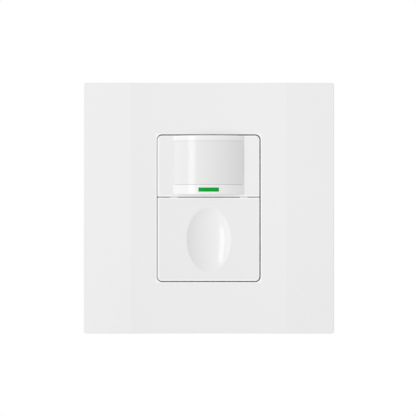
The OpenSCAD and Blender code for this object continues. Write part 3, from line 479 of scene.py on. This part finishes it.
def finishFor(slot):
    # one finish per slot, made when it is first asked for and named after the slot
    if slot not in finishes:
        maker, look = finishOf.get(slot, plainFinish)
        first, *rest = slot.split("_")
        name = first + "".join(word.capitalize() for word in rest)
        finishes[slot] = maker(name, **{"colour": slotColour[slot], **look})
    return finishes[slot]


# pieces: each stands for one node of the frame, takes the finish of that node's slot and rides on its body

replaced = set()


def makePiece(name, parts, body, node):
    # joins the parts, welds points that meet, turns the faces outwards and hangs the piece on its body
    starts = np.cumsum([0] + [len(points) for points, _ in parts[:-1]])
    points = toWorld(np.concatenate([points for points, _ in parts]))
    faces = np.concatenate([quads + start for (_, quads), start in zip(parts, starts)])
    mesh = bpy.data.meshes.new(name)
    mesh.from_pydata(points.tolist(), [], faces.tolist())
    shape = bmesh.new()
    shape.from_mesh(mesh)
    bmesh.ops.remove_doubles(shape, verts=shape.verts, dist=meshing["weld"])
    bmesh.ops.recalc_face_normals(shape, faces=shape.faces)
    shape.to_mesh(mesh)
    shape.free()
    mesh.shade_smooth()
    mesh.set_sharp_from_angle(angle=math.radians(meshing["sharpAngle"]))
    mesh.materials.append(finishFor(nodeSlot[node]))
    piece = bpy.data.objects.new(name, mesh)
    bpy.context.scene.collection.objects.link(piece)
    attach(piece, body)
    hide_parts(node)
    replaced.add(node)
    print("stage:", name, len(mesh.polygons), "faces")
    return piece


# wall plate: a tray with a window, hollowed across the middle band between two upright creases

plate = {
    "half": 58.0, "faceZ": 8.0, "dip": 1.1, "dipHalf": 36.0, "creaseHalf": 0.1,
    "windowX": 24.02, "windowShift": 0.04, "windowY": 34.2, "windowCorner": 2.45,
    "windowEdge": 0.25, "windowSteps": 5, "windowRows": (0.5, 0.85, 1.0),
    "collarWall": 1.4, "collarBack": 3.7, "frameX": 27.05, "frameY": 37.2,
    "frameLines": 8, "bandLines": 7, "flankLines": 8, "middleLines": (21, 25),
    "ribX": 47.0, "ribY": 45.875, "ribHalf": 0.5, "ribZ": (5.2, 6.6), "crossRibZ": (5.5, 6.6),
    "ribInWall": 0.3,
    "clipX": (36.2, 37.4), "clipY": 15.0, "clipHalf": 4.0, "clipZ": (1.7, 6.6),
    "barbX": 35.16, "barbZ": (2.5, 3.7), "barbInClip": 0.6, "barbSoft": 0.2,
    "tray": {"inset": 1.2, "radii": (1.2,) * 4, "edge": 0.3, "lip": 0.25, "wall": 2.0, "ceiling": 6.4},
}


def faceTop(x, y):
    # a circle arc across the middle band, level beyond each crease
    radius = (plate["dipHalf"] ** 2 + plate["dip"] ** 2) / (2 * plate["dip"])
    arc = radius - np.sqrt(radius ** 2 - np.minimum(np.abs(x), plate["dipHalf"]) ** 2)
    return plate["faceZ"] + arc


def windowLine(border):
    # each point of the frame round the window gets its point on the window's outline and the way out:
    # straight across beside a side, and turning evenly round a corner
    size, sign = np.abs(border), np.sign(border)
    corner = plate["windowCorner"]
    straight = np.array([plate["windowX"] - corner, plate["windowY"] - corner])
    part = np.clip((size - straight) / (np.array([plate["frameX"], plate["frameY"]]) - straight), 0.0, 1.0)
    beside = np.isclose(size[:, 0], plate["frameX"])
    angle = np.where(beside, part[:, 1], 2.0 - part[:, 0]) * quarterTurn / 2
    out = np.stack([np.cos(angle), np.sin(angle)], axis=1)
    return (np.minimum(size, straight) + corner * out) * sign, out * sign


def makeWallPlate():
    # a tray over grid lines that meet the window's corners and the creases; rows lead from the frame round
    # the window to its edge, round that and back to the ceiling; ribs and clips stand behind
    tray = plate["tray"]
    rim = plate["half"] - tray["inset"]
    frameX, frameY = plate["frameX"], plate["frameY"]
    turnX, turnY = plate["windowX"] - plate["windowCorner"], plate["windowY"] - plate["windowCorner"]
    before, after = around(plate["dipHalf"], plate["creaseHalf"])
    sideX = np.concatenate([
        np.linspace(turnX, frameX, plate["frameLines"]),
        np.linspace(frameX, before, plate["bandLines"])[1:],
        [plate["dipHalf"]],
        np.linspace(after, rim, plate["flankLines"]),
    ])
    sideY = np.concatenate([
        np.linspace(turnY, frameY, plate["frameLines"]),
        np.linspace(frameY, rim, plate["flankLines"])[1:],
    ])
    middleX, middleY = plate["middleLines"]
    xs = np.concatenate([-sideX[::-1], np.linspace(-turnX, turnX, middleX)[1:-1], sideX])
    ys = np.concatenate([-sideY[::-1], np.linspace(-turnY, turnY, middleY)[1:-1], sideY])
    parts = trayParts(tray, xs, ys, faceTop, level(0.0), (frameX, frameY, 0.0))

    near, edge = meshing["near"], plate["windowEdge"]
    border = loopRound(xs[np.abs(xs) <= frameX + near], ys[np.abs(ys) <= frameY + near])
    line, out = windowLine(border)
    line[:, 0] += plate["windowShift"]
    rows = [layOn(border, faceTop)]
    for share in plate["windowRows"]:
        rows.append(layOn(border + share * (line + edge * out - border), faceTop))
    for turn in np.linspace(0.0, quarterTurn, plate["windowSteps"] + 1)[1:]:
        rows.append(layOn(line + edge * (1 - math.sin(turn)) * out, faceTop, edge * (1 - math.cos(turn))))
    collar = line + plate["collarWall"] * out
    backBorder = border * (plate["half"] - tray["wall"]) / rim
    rows += [lift(flat, plate["collarBack"]) for flat in (line, collar)]
    rows += [lift(flat, tray["ceiling"]) for flat in (collar, backBorder)]
    parts.append(loftPart(rows))

    reach = around(0.0, plate["half"] - tray["wall"] + plate["ribInWall"])
    barb = (plate["barbX"], plate["clipX"][0] + plate["barbInClip"])
    for side in (-1, 1):
        parts += barParts(around(side * plate["ribX"], plate["ribHalf"]), reach, plate["ribZ"])
        parts += barParts(reach, around(side * plate["ribY"], plate["ribHalf"]), plate["crossRibZ"])
        for middle in (-plate["clipY"], plate["clipY"]):
            span = around(middle, plate["clipHalf"])
            parts += barParts(sideSpan(side, plate["clipX"]), span, plate["clipZ"])
            parts += barParts(sideSpan(side, barb), span, plate["barbZ"], plate["barbSoft"])
    makePiece("wallPlate", parts, "switch_body", "wall_plate")


makeWallPlate()

# front cover: the fixed upper face with its raised sensor block, which is round across and has a pocket
# each for the lens and the status bar

cover = {
    "x": (-23.74, 23.5), "y": (5.3, 33.66), "lines": (29, 13), "skirt": 1.3, "seat": 5.2, "seatSide": 0.3,
    "tray": {
        "inset": 2.2, "radii": (0.4, 2.0, 2.0, 0.4), "edge": 0.25, "lip": 0.2, "wall": 1.6, "ceiling": 6.4,
    },
}
block = {
    "half": 16.5, "y": (6.4, 33.6), "radius": 39.0, "axis": -27.09, "foot": 6.0, "wallStep": 0.02,
    "lensHalf": 16.25, "lensY": (10.84, 31.13), "lensPocket": 1.3, "lensLines": 9,
    "barHalf": 4.72, "barY": (7.64, 9.54), "barPocket": 2.0, "barLines": (9, 3), "besideBarLines": 12,
    "tray": {"inset": 0.16, "radii": (0.5,) * 4, "edge": 0.12, "lip": 0.1, "wall": None},
}


def coverFoot(x, y):
    # the walls run down as a skirt, except along the button, where the wall ends at the seat
    return np.where(y < cover["y"][0] + cover["seatSide"], cover["seat"], cover["skirt"])


def drumTop(x, sunk=0.0):
    # front of an upright drum: its axis plus the root of radius squared less x squared
    return block["axis"] + np.sqrt((block["radius"] - sunk) ** 2 - x ** 2)


def inOpening(x, y, half, span):
    # whether a point lies inside an opening, by half a wall step or more
    margin = block["wallStep"] / 2
    return (np.abs(x) < half - margin) & (y > span[0] + margin) & (y < span[1] - margin)


def blockTop(x, y):
    # the drum, less the depth of each pocket inside its opening
    lensPocket = block["lensPocket"] * inOpening(x, y, block["lensHalf"], block["lensY"])
    barPocket = block["barPocket"] * inOpening(x, y, block["barHalf"], block["barY"])
    return drumTop(x) - lensPocket - barPocket


def openingLines(span, count):
    # grid lines across an opening: a close pair at each end, so that its wall stands steep
    return np.concatenate([span[:1], gridLines(span, block["wallStep"], count), span[1:]])


def makeFrontCover():
    # one tray for the face and one for the block, whose grid lines meet the walls of its openings
    tray, blockTray = cover["tray"], block["tray"]
    xs, ys = (gridLines(cover[way], tray["inset"], count) for way, count in zip("xy", cover["lines"]))
    parts = trayParts(tray, xs, ys, faceTop, coverFoot)
    barX = openingLines(around(0.0, block["barHalf"]), block["barLines"][0])
    barY = openingLines(block["barY"], block["barLines"][1])
    lensY = openingLines(block["lensY"], block["lensLines"])
    lensEdge, rim = block["lensHalf"], block["half"] - blockTray["inset"]
    besideBar = np.linspace(block["barHalf"], lensEdge - block["wallStep"], block["besideBarLines"])[1:]
    rightX = np.concatenate([besideBar, [lensEdge, rim]])
    low, high = gridLines(block["y"], blockTray["inset"], 2)
    blockX = np.concatenate([-rightX[::-1], barX, rightX])
    blockY = np.concatenate([[low], barY, lensY, [high]])
    parts += trayParts(blockTray, blockX, blockY, blockTop, level(block["foot"]))
    makePiece("frontCover", parts, "switch_body", "front_cover")


makeFrontCover()

# lens: a thin drum sheet that fills the pocket, its back cut into rings about ten small lens middles

lens = {
    "half": 16.17, "y": (10.92, 31.1), "lines": (81, 53), "sunk": 0.02, "dome": 0.14, "thick": 0.8,
    "rows": 2, "columns": 5, "pitch": 1.6, "cut": 0.14,
    "tray": {"inset": 0.5, "radii": (0.3,) * 4, "edge": 0.06, "lip": 0.05, "wall": None},
}


def domedFront(x, y):
    # the drum, falling away above and below the middle by the dome times the squared share of the way out
    low, high = lens["y"]
    out = (2 * y - (low + high)) / (high - low)
    return drumTop(x, lens["sunk"]) - lens["dome"] * out ** 2


def ringBack(x, y):
    # inside face of the sheet plus a sawtooth of the distance from the nearest small lens middle
    low, high = lens["y"]
    cellX, cellY = 2 * lens["half"] / lens["columns"], (high - low) / lens["rows"]
    awayX = (x + lens["half"]) % cellX - cellX / 2
    awayY = (y - low) % cellY - cellY / 2
    ring = np.hypot(awayX, awayY) / lens["pitch"] % 1.0
    return drumTop(x, lens["sunk"] + lens["thick"]) + lens["cut"] * ring


def makeLens():
    # a thin tray between the domed front and the ringed back
    tray, (linesX, linesY) = lens["tray"], lens["lines"]
    xs = gridLines(around(0.0, lens["half"]), tray["inset"], linesX)
    ys = gridLines(lens["y"], tray["inset"], linesY)
    makePiece("fresnelLens", trayParts(tray, xs, ys, domedFront, ringBack), "switch_body", "fresnel_lens")


makeLens()

# status bar: its front lies in the drum, and a tapering pipe leads back to the small lamp on the board

bar = {
    "half": 4.65, "y": (7.72, 9.46), "lines": (13, 4), "sunk": 0.1, "foot": 6.0,
    "lipHalf": 5.75, "lipZ": (5.3, 6.3), "neck": 0.2, "endHalf": 1.6, "endZ": -1.6, "pipeLines": (9, 3),
    "tray": {"inset": 0.4, "radii": (0.35,) * 4, "edge": 0.12, "lip": 0.05, "wall": None},
}


def barFront(x, y):
    # the drum, a little sunk
    return drumTop(x, bar["sunk"])


def makeStatusBar():
    # a small tray in front, a lip behind it, and rows that lead back from a wide oblong to a narrow one
    tray, (linesX, linesY) = bar["tray"], bar["lines"]
    xs = gridLines(around(0.0, bar["half"]), tray["inset"], linesX)
    ys = gridLines(bar["y"], tray["inset"], linesY)
    parts = trayParts(tray, xs, ys, barFront, level(bar["foot"]))
    parts += barParts(around(0.0, bar["lipHalf"]), bar["y"], bar["lipZ"])
    pipeX, pipeY = bar["pipeLines"]
    levels = np.linspace(*bar["y"], pipeY)
    front, back = (
        loopRound(np.linspace(-half, half, pipeX), levels) for half in (bar["half"], bar["endHalf"])
    )
    middle = np.broadcast_to(np.array([0.0, sum(bar["y"]) / 2]), front.shape)
    lipBack, lipFront = bar["lipZ"]
    parts.append(loftPart([
        lift(middle, lipFront), lift(front, lipFront), lift(front, lipBack - bar["neck"]),
        lift(back, bar["endZ"]), lift(middle, bar["endZ"]),
    ]))
    makePiece("statusBar", parts, "switch_body", "light_pipe")


makeStatusBar()

# button: a thick slab with an oval finger dish, hinge arms that reach up under the cover, catch hooks,
# a post that pushes the small switch behind it and a post that guides the spring

button = {
    "x": (-23.69, 23.5), "y": (-33.73, 4.96), "back": 4.8,
    "besideLinesX": (7, 7), "besideLinesY": (3, 4),
    "dishY": -14.5, "dishHalf": (10.25, 15.0), "dishDepth": 1.8, "dishPower": 2.3,
    "frameHalf": (12.4, 16.2), "frameLines": 33, "lead": 1.03, "leadRows": (0.4, 0.8, 1.0),
    "brim": (1.01, 1.003, 0.997, 0.99), "bowl": 0.97, "bowlRings": 26,
    "armX": 16.2, "armHalf": 1.85, "armY": (1.475, 9.4), "armZ": (2.9, 5.0),
    "nubY": (4.54, 5.21), "nubZ": (3.9, 7.55), "nubSoft": 0.1,
    "pivot": (9.225, 3.9), "pinHalf": 3.5, "pinRadius": 1.0, "pinSoft": 0.15, "pinSides": 24,
    "hookX": 10.6, "hookHalf": 2.0, "hookY": (-27.9, -26.9), "hookZ": (0.05, 5.0),
    "barbY": -29.0, "barbTop": 0.8, "barbIn": 0.1,
    "pushPost": {"y": -4.525, "radius": 1.3, "end": 2.25},
    "springPost": {"y": -22.15, "radius": 1.85, "end": 3.8},
    "postSoft": 0.2, "postSides": 32,
    "tray": {"inset": 2.2, "radii": (2.0, 0.4, 0.4, 2.0), "edge": 0.25, "lip": 0.2, "wall": None},
}


def dishPart(border):
    # rings shrink from the border rectangle to the oval and on to its middle; inside the oval the face
    # sinks by the depth times one less the ring's share raised to the power
    middle = np.array([0.0, button["dishY"]])
    away = (border - middle) / button["frameHalf"]
    angle = np.arctan2(away[:, 1], away[:, 0])
    oval = np.stack([np.cos(angle), np.sin(angle)], axis=1) * button["dishHalf"]
    lead = oval * button["lead"] + middle
    rows = [layOn(border + share * (lead - border), faceTop) for share in (0.0, *button["leadRows"])]
    for share in (*button["brim"], *np.linspace(button["bowl"], 0.0, button["bowlRings"])):
        fall = button["dishDepth"] * max(1 - share ** button["dishPower"], 0.0)
        rows.append(layOn(oval * share + middle, faceTop, fall))
    return loftPart(rows)


def linesBeside(inner, span, inset, counts):
    # the inner lines, and evenly spaced ones from them to each end of the stretch, less the inset
    before = np.linspace(span[0] + inset, inner[0], counts[0])[:-1]
    after = np.linspace(inner[-1], span[1] - inset, counts[1])[1:]
    return np.concatenate([before, inner, after])


def armParts(side):
    # a hinge arm, its nub in the gap to the cover and the pin across its end
    arm = around(side * button["armX"], button["armHalf"])
    end, radius, soft = button["pinHalf"], button["pinRadius"], button["pinSoft"]
    tip = [(0.0, -end), (radius - soft, -end), (radius, soft - end)]
    rings = tip + [(reach, -height) for reach, height in tip[::-1]]
    place = (side * button["armX"], *button["pivot"])
    parts = barParts(arm, button["armY"], button["armZ"])
    parts += barParts(arm, button["nubY"], button["nubZ"], button["nubSoft"])
    return parts + [turnedPart(rings, place, (1, 0, 0), circle(button["pinSides"]))]


def hookParts(side):
    # a catch hook and the barb at its end, which is a little narrower
    middle, half, inside = side * button["hookX"], button["hookHalf"], button["barbIn"]
    barbY = (button["barbY"], sum(button["hookY"]) / 2)
    barbZ = (button["hookZ"][0] + inside, button["barbTop"])
    hook = barParts(around(middle, half), button["hookY"], button["hookZ"])
    return hook + barParts(around(middle, half - inside), barbY, barbZ)


def postPart(post):
    # a round post with a softened end, rooted in the slab
    end, radius, soft = post["end"], post["radius"], button["postSoft"]
    root = button["back"] + soft
    rings = [(0.0, end), (radius - soft, end), (radius, end + soft), (radius, root), (0.0, root)]
    return turnedPart(rings, (0.0, post["y"], 0.0), (0, 0, 1), circle(button["postSides"]))


def makeButton():
    # a tray with a hole for the dish; the lines of the frame round it are even in angle about its middle
    tray = button["tray"]
    halfX, halfY = button["frameHalf"]
    fan = np.tan(np.linspace(-quarterTurn / 2, quarterTurn / 2, button["frameLines"]))
    frameX, frameY = halfX * fan, button["dishY"] + halfY * fan
    xs = linesBeside(frameX, button["x"], tray["inset"], button["besideLinesX"])
    ys = linesBeside(frameY, button["y"], tray["inset"], button["besideLinesY"])
    parts = trayParts(tray, xs, ys, faceTop, level(button["back"]), (halfX, halfY, button["dishY"]))
    parts.append(dishPart(loopRound(frameX, frameY)))
    for side in (-1, 1):
        parts += armParts(side) + hookParts(side)
    parts += [postPart(button[post]) for post in ("pushPost", "springPost")]
    makePiece("pushButton", parts, "button", "push_button")


makeButton()

# return spring behind the button: a round wire carried along a coil whose first and last turns lie flat

spring = {
    "at": (0.0, -22.15), "radius": 2.6, "wire": 0.25, "z": (-1.4, 4.8), "turns": 5.4, "flat": 0.8,
    "coilPoints": 261, "wirePoints": 12,
}


def makeSpring():
    # a coil point is radius at the turn's angle, rising evenly between the flat ends; the wire's circle
    # stands square to the coil there
    turn = np.linspace(0.0, spring["turns"], spring["coilPoints"])
    low, high = spring["z"][0] + spring["wire"], spring["z"][1] - spring["wire"]
    rise = np.clip((turn - spring["flat"]) / (spring["turns"] - 2 * spring["flat"]), 0.0, 1.0)
    angle = 2 * math.pi * turn
    out = np.stack([np.cos(angle), np.sin(angle), np.zeros_like(angle)], axis=1)
    path = spring["radius"] * out + np.array([*spring["at"], low])
    path[:, 2] += (high - low) * rise
    way = np.gradient(path, axis=0)
    way /= np.linalg.norm(way, axis=1, keepdims=True)
    side = np.cross(way, out)
    bend = circle(spring["wirePoints"])[None, :, None]
    tube = path[:, None] + spring["wire"] * (np.cos(bend) * out[:, None] + np.sin(bend) * side[:, None])
    caps = np.broadcast_to(path[[0, -1], None], (2, *tube.shape[1:]))
    points = np.concatenate([caps[:1], tube, caps[1:]])
    piece = makePiece("returnSpring", [gridPart(points, closed=True)], "switch_body", "button_spring")
    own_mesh(piece)


makeSpring()

# screws with a rolled thread and a cross recess: two into the wall box, three terminals, four that hold
# the housing; head and neck are radius and length, thread is a radius, and a place is the foot of a head
# and the way that the head faces

screwKinds = {
    "box_screws": {
        "piece": "boxScrews", "head": (3.4, 2.2), "neck": (1.5, 1.4),
        "thread": 1.75, "length": 19.2, "pitch": 0.8,
        "places": [((0.0, up, 1.2), (0, 0, 1)) for up in (-41.65, 41.65)],
    },
    "terminal_screws": {
        "piece": "terminalScrews", "head": (3.4, 2.0), "neck": (1.7, 1.0),
        "thread": 1.7, "length": 5.0, "pitch": 0.8,
        "places": [
            ((side * 21.6, up, -20.1), (side, 0, 0)) for side, up in ((1, 12.0), (1, -12.0), (-1, 12.0))
        ],
    },
    "housing_screws": {
        "piece": "housingScrews", "head": (2.4, 1.8), "neck": (1.25, 3.0),
        "thread": 1.25, "length": 11.3, "pitch": 0.6,
        "places": [((x, y, -11.3), (0, 0, -1)) for x in (-16.2, 16.2) for y in (-26.2, 26.2)],
    },
}
screwShape = {
    "cut": 0.2, "ringsPerTurn": 8,  # the cut as a share of the pitch
    "crown": 0.5, "brim": 0.35, "headRings": 9,  # shares of the head's radius and height
    "soft": 0.1,
    "arm": 0.48, "armHalf": 0.14,  # shares of the head's radius
    "recess": ((1.0, 1.0), (0.85, 0.5), (0.0, 0.45)),  # share of the cross, share of the head's height
}


def crossOutline(headRadius):
    # angles once round that meet the corners of a cross, and its reach there: by the angle from the
    # nearest arm, the arm over its cosine up to the corner, and half the arm's width over its sine beyond
    arm, half = screwShape["arm"] * headRadius, screwShape["armHalf"] * headRadius
    slant = math.atan2(half, arm)
    diagonal = quarterTurn / 2
    firstHalf = np.array([0.0, slant / 2, slant, (slant + diagonal) / 2])
    quarter = np.concatenate([firstHalf, [diagonal], quarterTurn - firstHalf[:0:-1]])
    angle = np.concatenate([quarter + turns * quarterTurn for turns in range(4)])
    fold = np.abs((angle + diagonal) % quarterTurn - diagonal)
    onArm = fold <= slant + meshing["near"]
    return angle, np.where(onArm, arm / np.cos(fold), half / np.sin(np.maximum(fold, slant)))


def screwRings(kind, angle, cross):
    # rings from tip to head: along the thread the radius swings with the cosine of height over pitch less
    # the angle; the head is a quarter oval round a flat crown, and its last rings follow the cross
    headRadius, headHeight = kind["head"]
    neckRadius, neckLength = kind["neck"]
    thread, length, pitch = kind["thread"], kind["length"], kind["pitch"]
    start, end = thread / 2 - length, -neckLength
    heights = np.linspace(start, end, int((end - start) / pitch * screwShape["ringsPerTurn"]) + 1)
    fade = np.minimum(1.0, np.minimum(heights - start, end - heights) / pitch)
    wave = np.cos(2 * math.pi * heights[:, None] / pitch - angle)
    swing = screwShape["cut"] * pitch * fade[:, None] * (1 - wave)
    rings = [(0.0, -length), (thread / 2, -length), *zip(thread - swing, heights)]
    soft, crown, brim = screwShape["soft"], screwShape["crown"], screwShape["brim"]
    rings += [(neckRadius, end), (neckRadius, 0.0), (headRadius - soft, 0.0), (headRadius, soft)]
    for turn in np.linspace(0.0, quarterTurn, screwShape["headRings"]):
        across = headRadius * (crown + (1 - crown) * math.cos(turn))
        rings.append((across, headHeight * (brim + (1 - brim) * math.sin(turn))))
    return rings + [(cross * across, headHeight * up) for across, up in screwShape["recess"]]


def makeScrews(node, kind):
    # the rings of one screw, set at each place
    angle, cross = crossOutline(kind["head"][0])
    rings = screwRings(kind, angle, cross)
    parts = [turnedPart(rings, at, way, angle) for at, way in kind["places"]]
    makePiece(kind["piece"], parts, "switch_body", node)


for node, kind in screwKinds.items():
    makeScrews(node, kind)

# carried-over solids: each takes the finish of its slot, and edges that show are broken by a small bevel

brokenEdge = {
    "width": {"mounting_frame": 0.2, "rear_housing": 0.5, "ground_screw": 0.2, "terminal_plates": 0.12},
    "weld": 2e-6, "flatAngle": 0.5, "sharpAngle": 40.0, "segments": 2,
}


def dressNode(name):
    # gives a solid its finish; where a width is given, modifiers weld the loose triangles, join flat ones
    # and break the edges, and the solid itself stays as it is
    node = frame["nodes"][name]
    node.data.materials.clear()
    node.data.materials.append(finishFor(nodeSlot[name]))
    if name in brokenEdge["width"]:
        weld = node.modifiers.new("weld", "WELD")
        weld.merge_threshold = brokenEdge["weld"]
        flat = node.modifiers.new("flat", "DECIMATE")
        flat.decimate_type = "DISSOLVE"
        flat.angle_limit = math.radians(brokenEdge["flatAngle"])
        edge = node.modifiers.new("edge", "BEVEL")
        edge.width = brokenEdge["width"][name] * millimetre
        edge.segments = brokenEdge["segments"]
        edge.limit_method = "ANGLE"
        edge.angle_limit = math.radians(brokenEdge["sharpAngle"])


for name in sorted(set(nodeSlot) - replaced):
    dressNode(name)
print("stage: solids dressed,", len(finishes), "finishes")

# set: white surroundings, a pale floor well below, an upright strip lamp left of the camera that shows in
# reflections, and a broad lamp further left that only lights; lengths here are in metres

studio = {
    "away": 0.65, "across": 0.1927, "shift": (-0.00172, 0.0005),  # camera
    "fill": 0.711,  # strength of the surroundings as light on the object
    "strip": {
        "azimuth": 23.8, "height": 0.14, "away": 2.4, "size": (0.4, 1.24), "power": 4.0, "mirrored": True,
    },
    "broad": {
        "azimuth": 58.5, "height": -0.15, "away": 2.8, "size": (0.85, 2.4), "power": 34.6,
        "mirrored": False,
    },
    "floorZ": -0.2, "floorFade": (0.3, 0.66), "floorRings": 12, "floorSides": 48,
    "floorFinish": {"colour": (0.9, 0.9, 0.9), "rough": 0.7, "spread": 0.01, "grain": 300.0},
}


def makeCamera():
    # looks straight at the face, with the lens that takes in the width across at that distance
    data = bpy.data.cameras.new("camera")
    data.lens = data.sensor_width * studio["away"] / studio["across"]
    data.shift_x, data.shift_y = studio["shift"]
    camera = bpy.data.objects.new("camera", data)
    camera.location = (0.0, -studio["away"] - plate["faceZ"] * millimetre, 0.0)
    camera.rotation_euler = (quarterTurn, 0.0, 0.0)
    bpy.context.scene.collection.objects.link(camera)
    bpy.context.scene.camera = camera


def makeLamp(name):
    # an area lamp on a circle round the switch, turned towards it
    place = studio[name]
    data = bpy.data.lights.new(name, "AREA")
    data.shape = "RECTANGLE"
    data.size, data.size_y = place["size"]
    data.energy = place["power"]
    lamp = bpy.data.objects.new(name, data)
    turn, away, height = math.radians(place["azimuth"]), place["away"], place["height"]
    lamp.location = (-away * math.sin(turn), -away * math.cos(turn), height)
    lamp.rotation_euler = (quarterTurn - math.atan2(height, away), 0.0, -turn)
    lamp.visible_glossy = place["mirrored"]
    bpy.context.scene.collection.objects.link(lamp)


def makeWorld():
    # white to the camera, in reflections and through clear pieces, softer as light on the object
    world = bpy.data.worlds.new("studio")
    bpy.context.scene.world = world
    world.use_nodes = True
    tree = world.node_tree
    back = tree.nodes["Background"]
    back.inputs["Color"].default_value = (1.0, 1.0, 1.0, 1.0)
    path = tree.nodes.new("ShaderNodeLightPath").outputs
    seen = mathInto(tree, "MAXIMUM", path["Is Camera Ray"], path["Is Glossy Ray"])
    seen = mathInto(tree, "MAXIMUM", seen, path["Is Transmission Ray"])
    tree.links.new(rangeInto(tree, seen, (0.0, 1.0), (studio["fill"], 1.0)), back.inputs["Strength"])


def makeFloorPale():
    # pale floor that fades out towards its rim and doesn't show from below
    material = mouldedPlastic("floorPale", **studio["floorFinish"])
    tree = material.node_tree
    reach = tree.nodes.new("ShaderNodeVectorMath")
    reach.operation = "LENGTH"
    tree.links.new(objectPlace(tree), reach.inputs[0])
    fade = rangeInto(tree, reach.outputs["Value"], studio["floorFade"], (1.0, 0.0), "SMOOTHSTEP")
    below = tree.nodes.new("ShaderNodeNewGeometry").outputs["Backfacing"]
    shown = mathInto(tree, "MULTIPLY", fade, mathInto(tree, "SUBTRACT", 1.0, below))
    tree.links.new(shown, tree.nodes["Principled BSDF"].inputs["Alpha"])
    return material


def makeFloor():
    # a round disc of even rings, all at one height; its angles run backwards, so that it faces up
    radii = np.linspace(0.0, studio["floorFade"][1], studio["floorRings"])
    rings = [(radius, studio["floorZ"]) for radius in radii]
    points, faces = turnedPart(rings, (0.0, 0.0, 0.0), (0, 0, 1), -circle(studio["floorSides"]))
    mesh = bpy.data.meshes.new("floor")
    mesh.from_pydata(points.tolist(), [], faces.tolist())
    mesh.materials.append(makeFloorPale())
    floor = bpy.data.objects.new("floor", mesh)
    bpy.context.scene.collection.objects.link(floor)


makeCamera()
makeLamp("strip")
makeLamp("broad")
makeWorld()
makeFloor()
bpy.context.scene.view_settings.view_transform = "Standard"
print("stage: set ready")
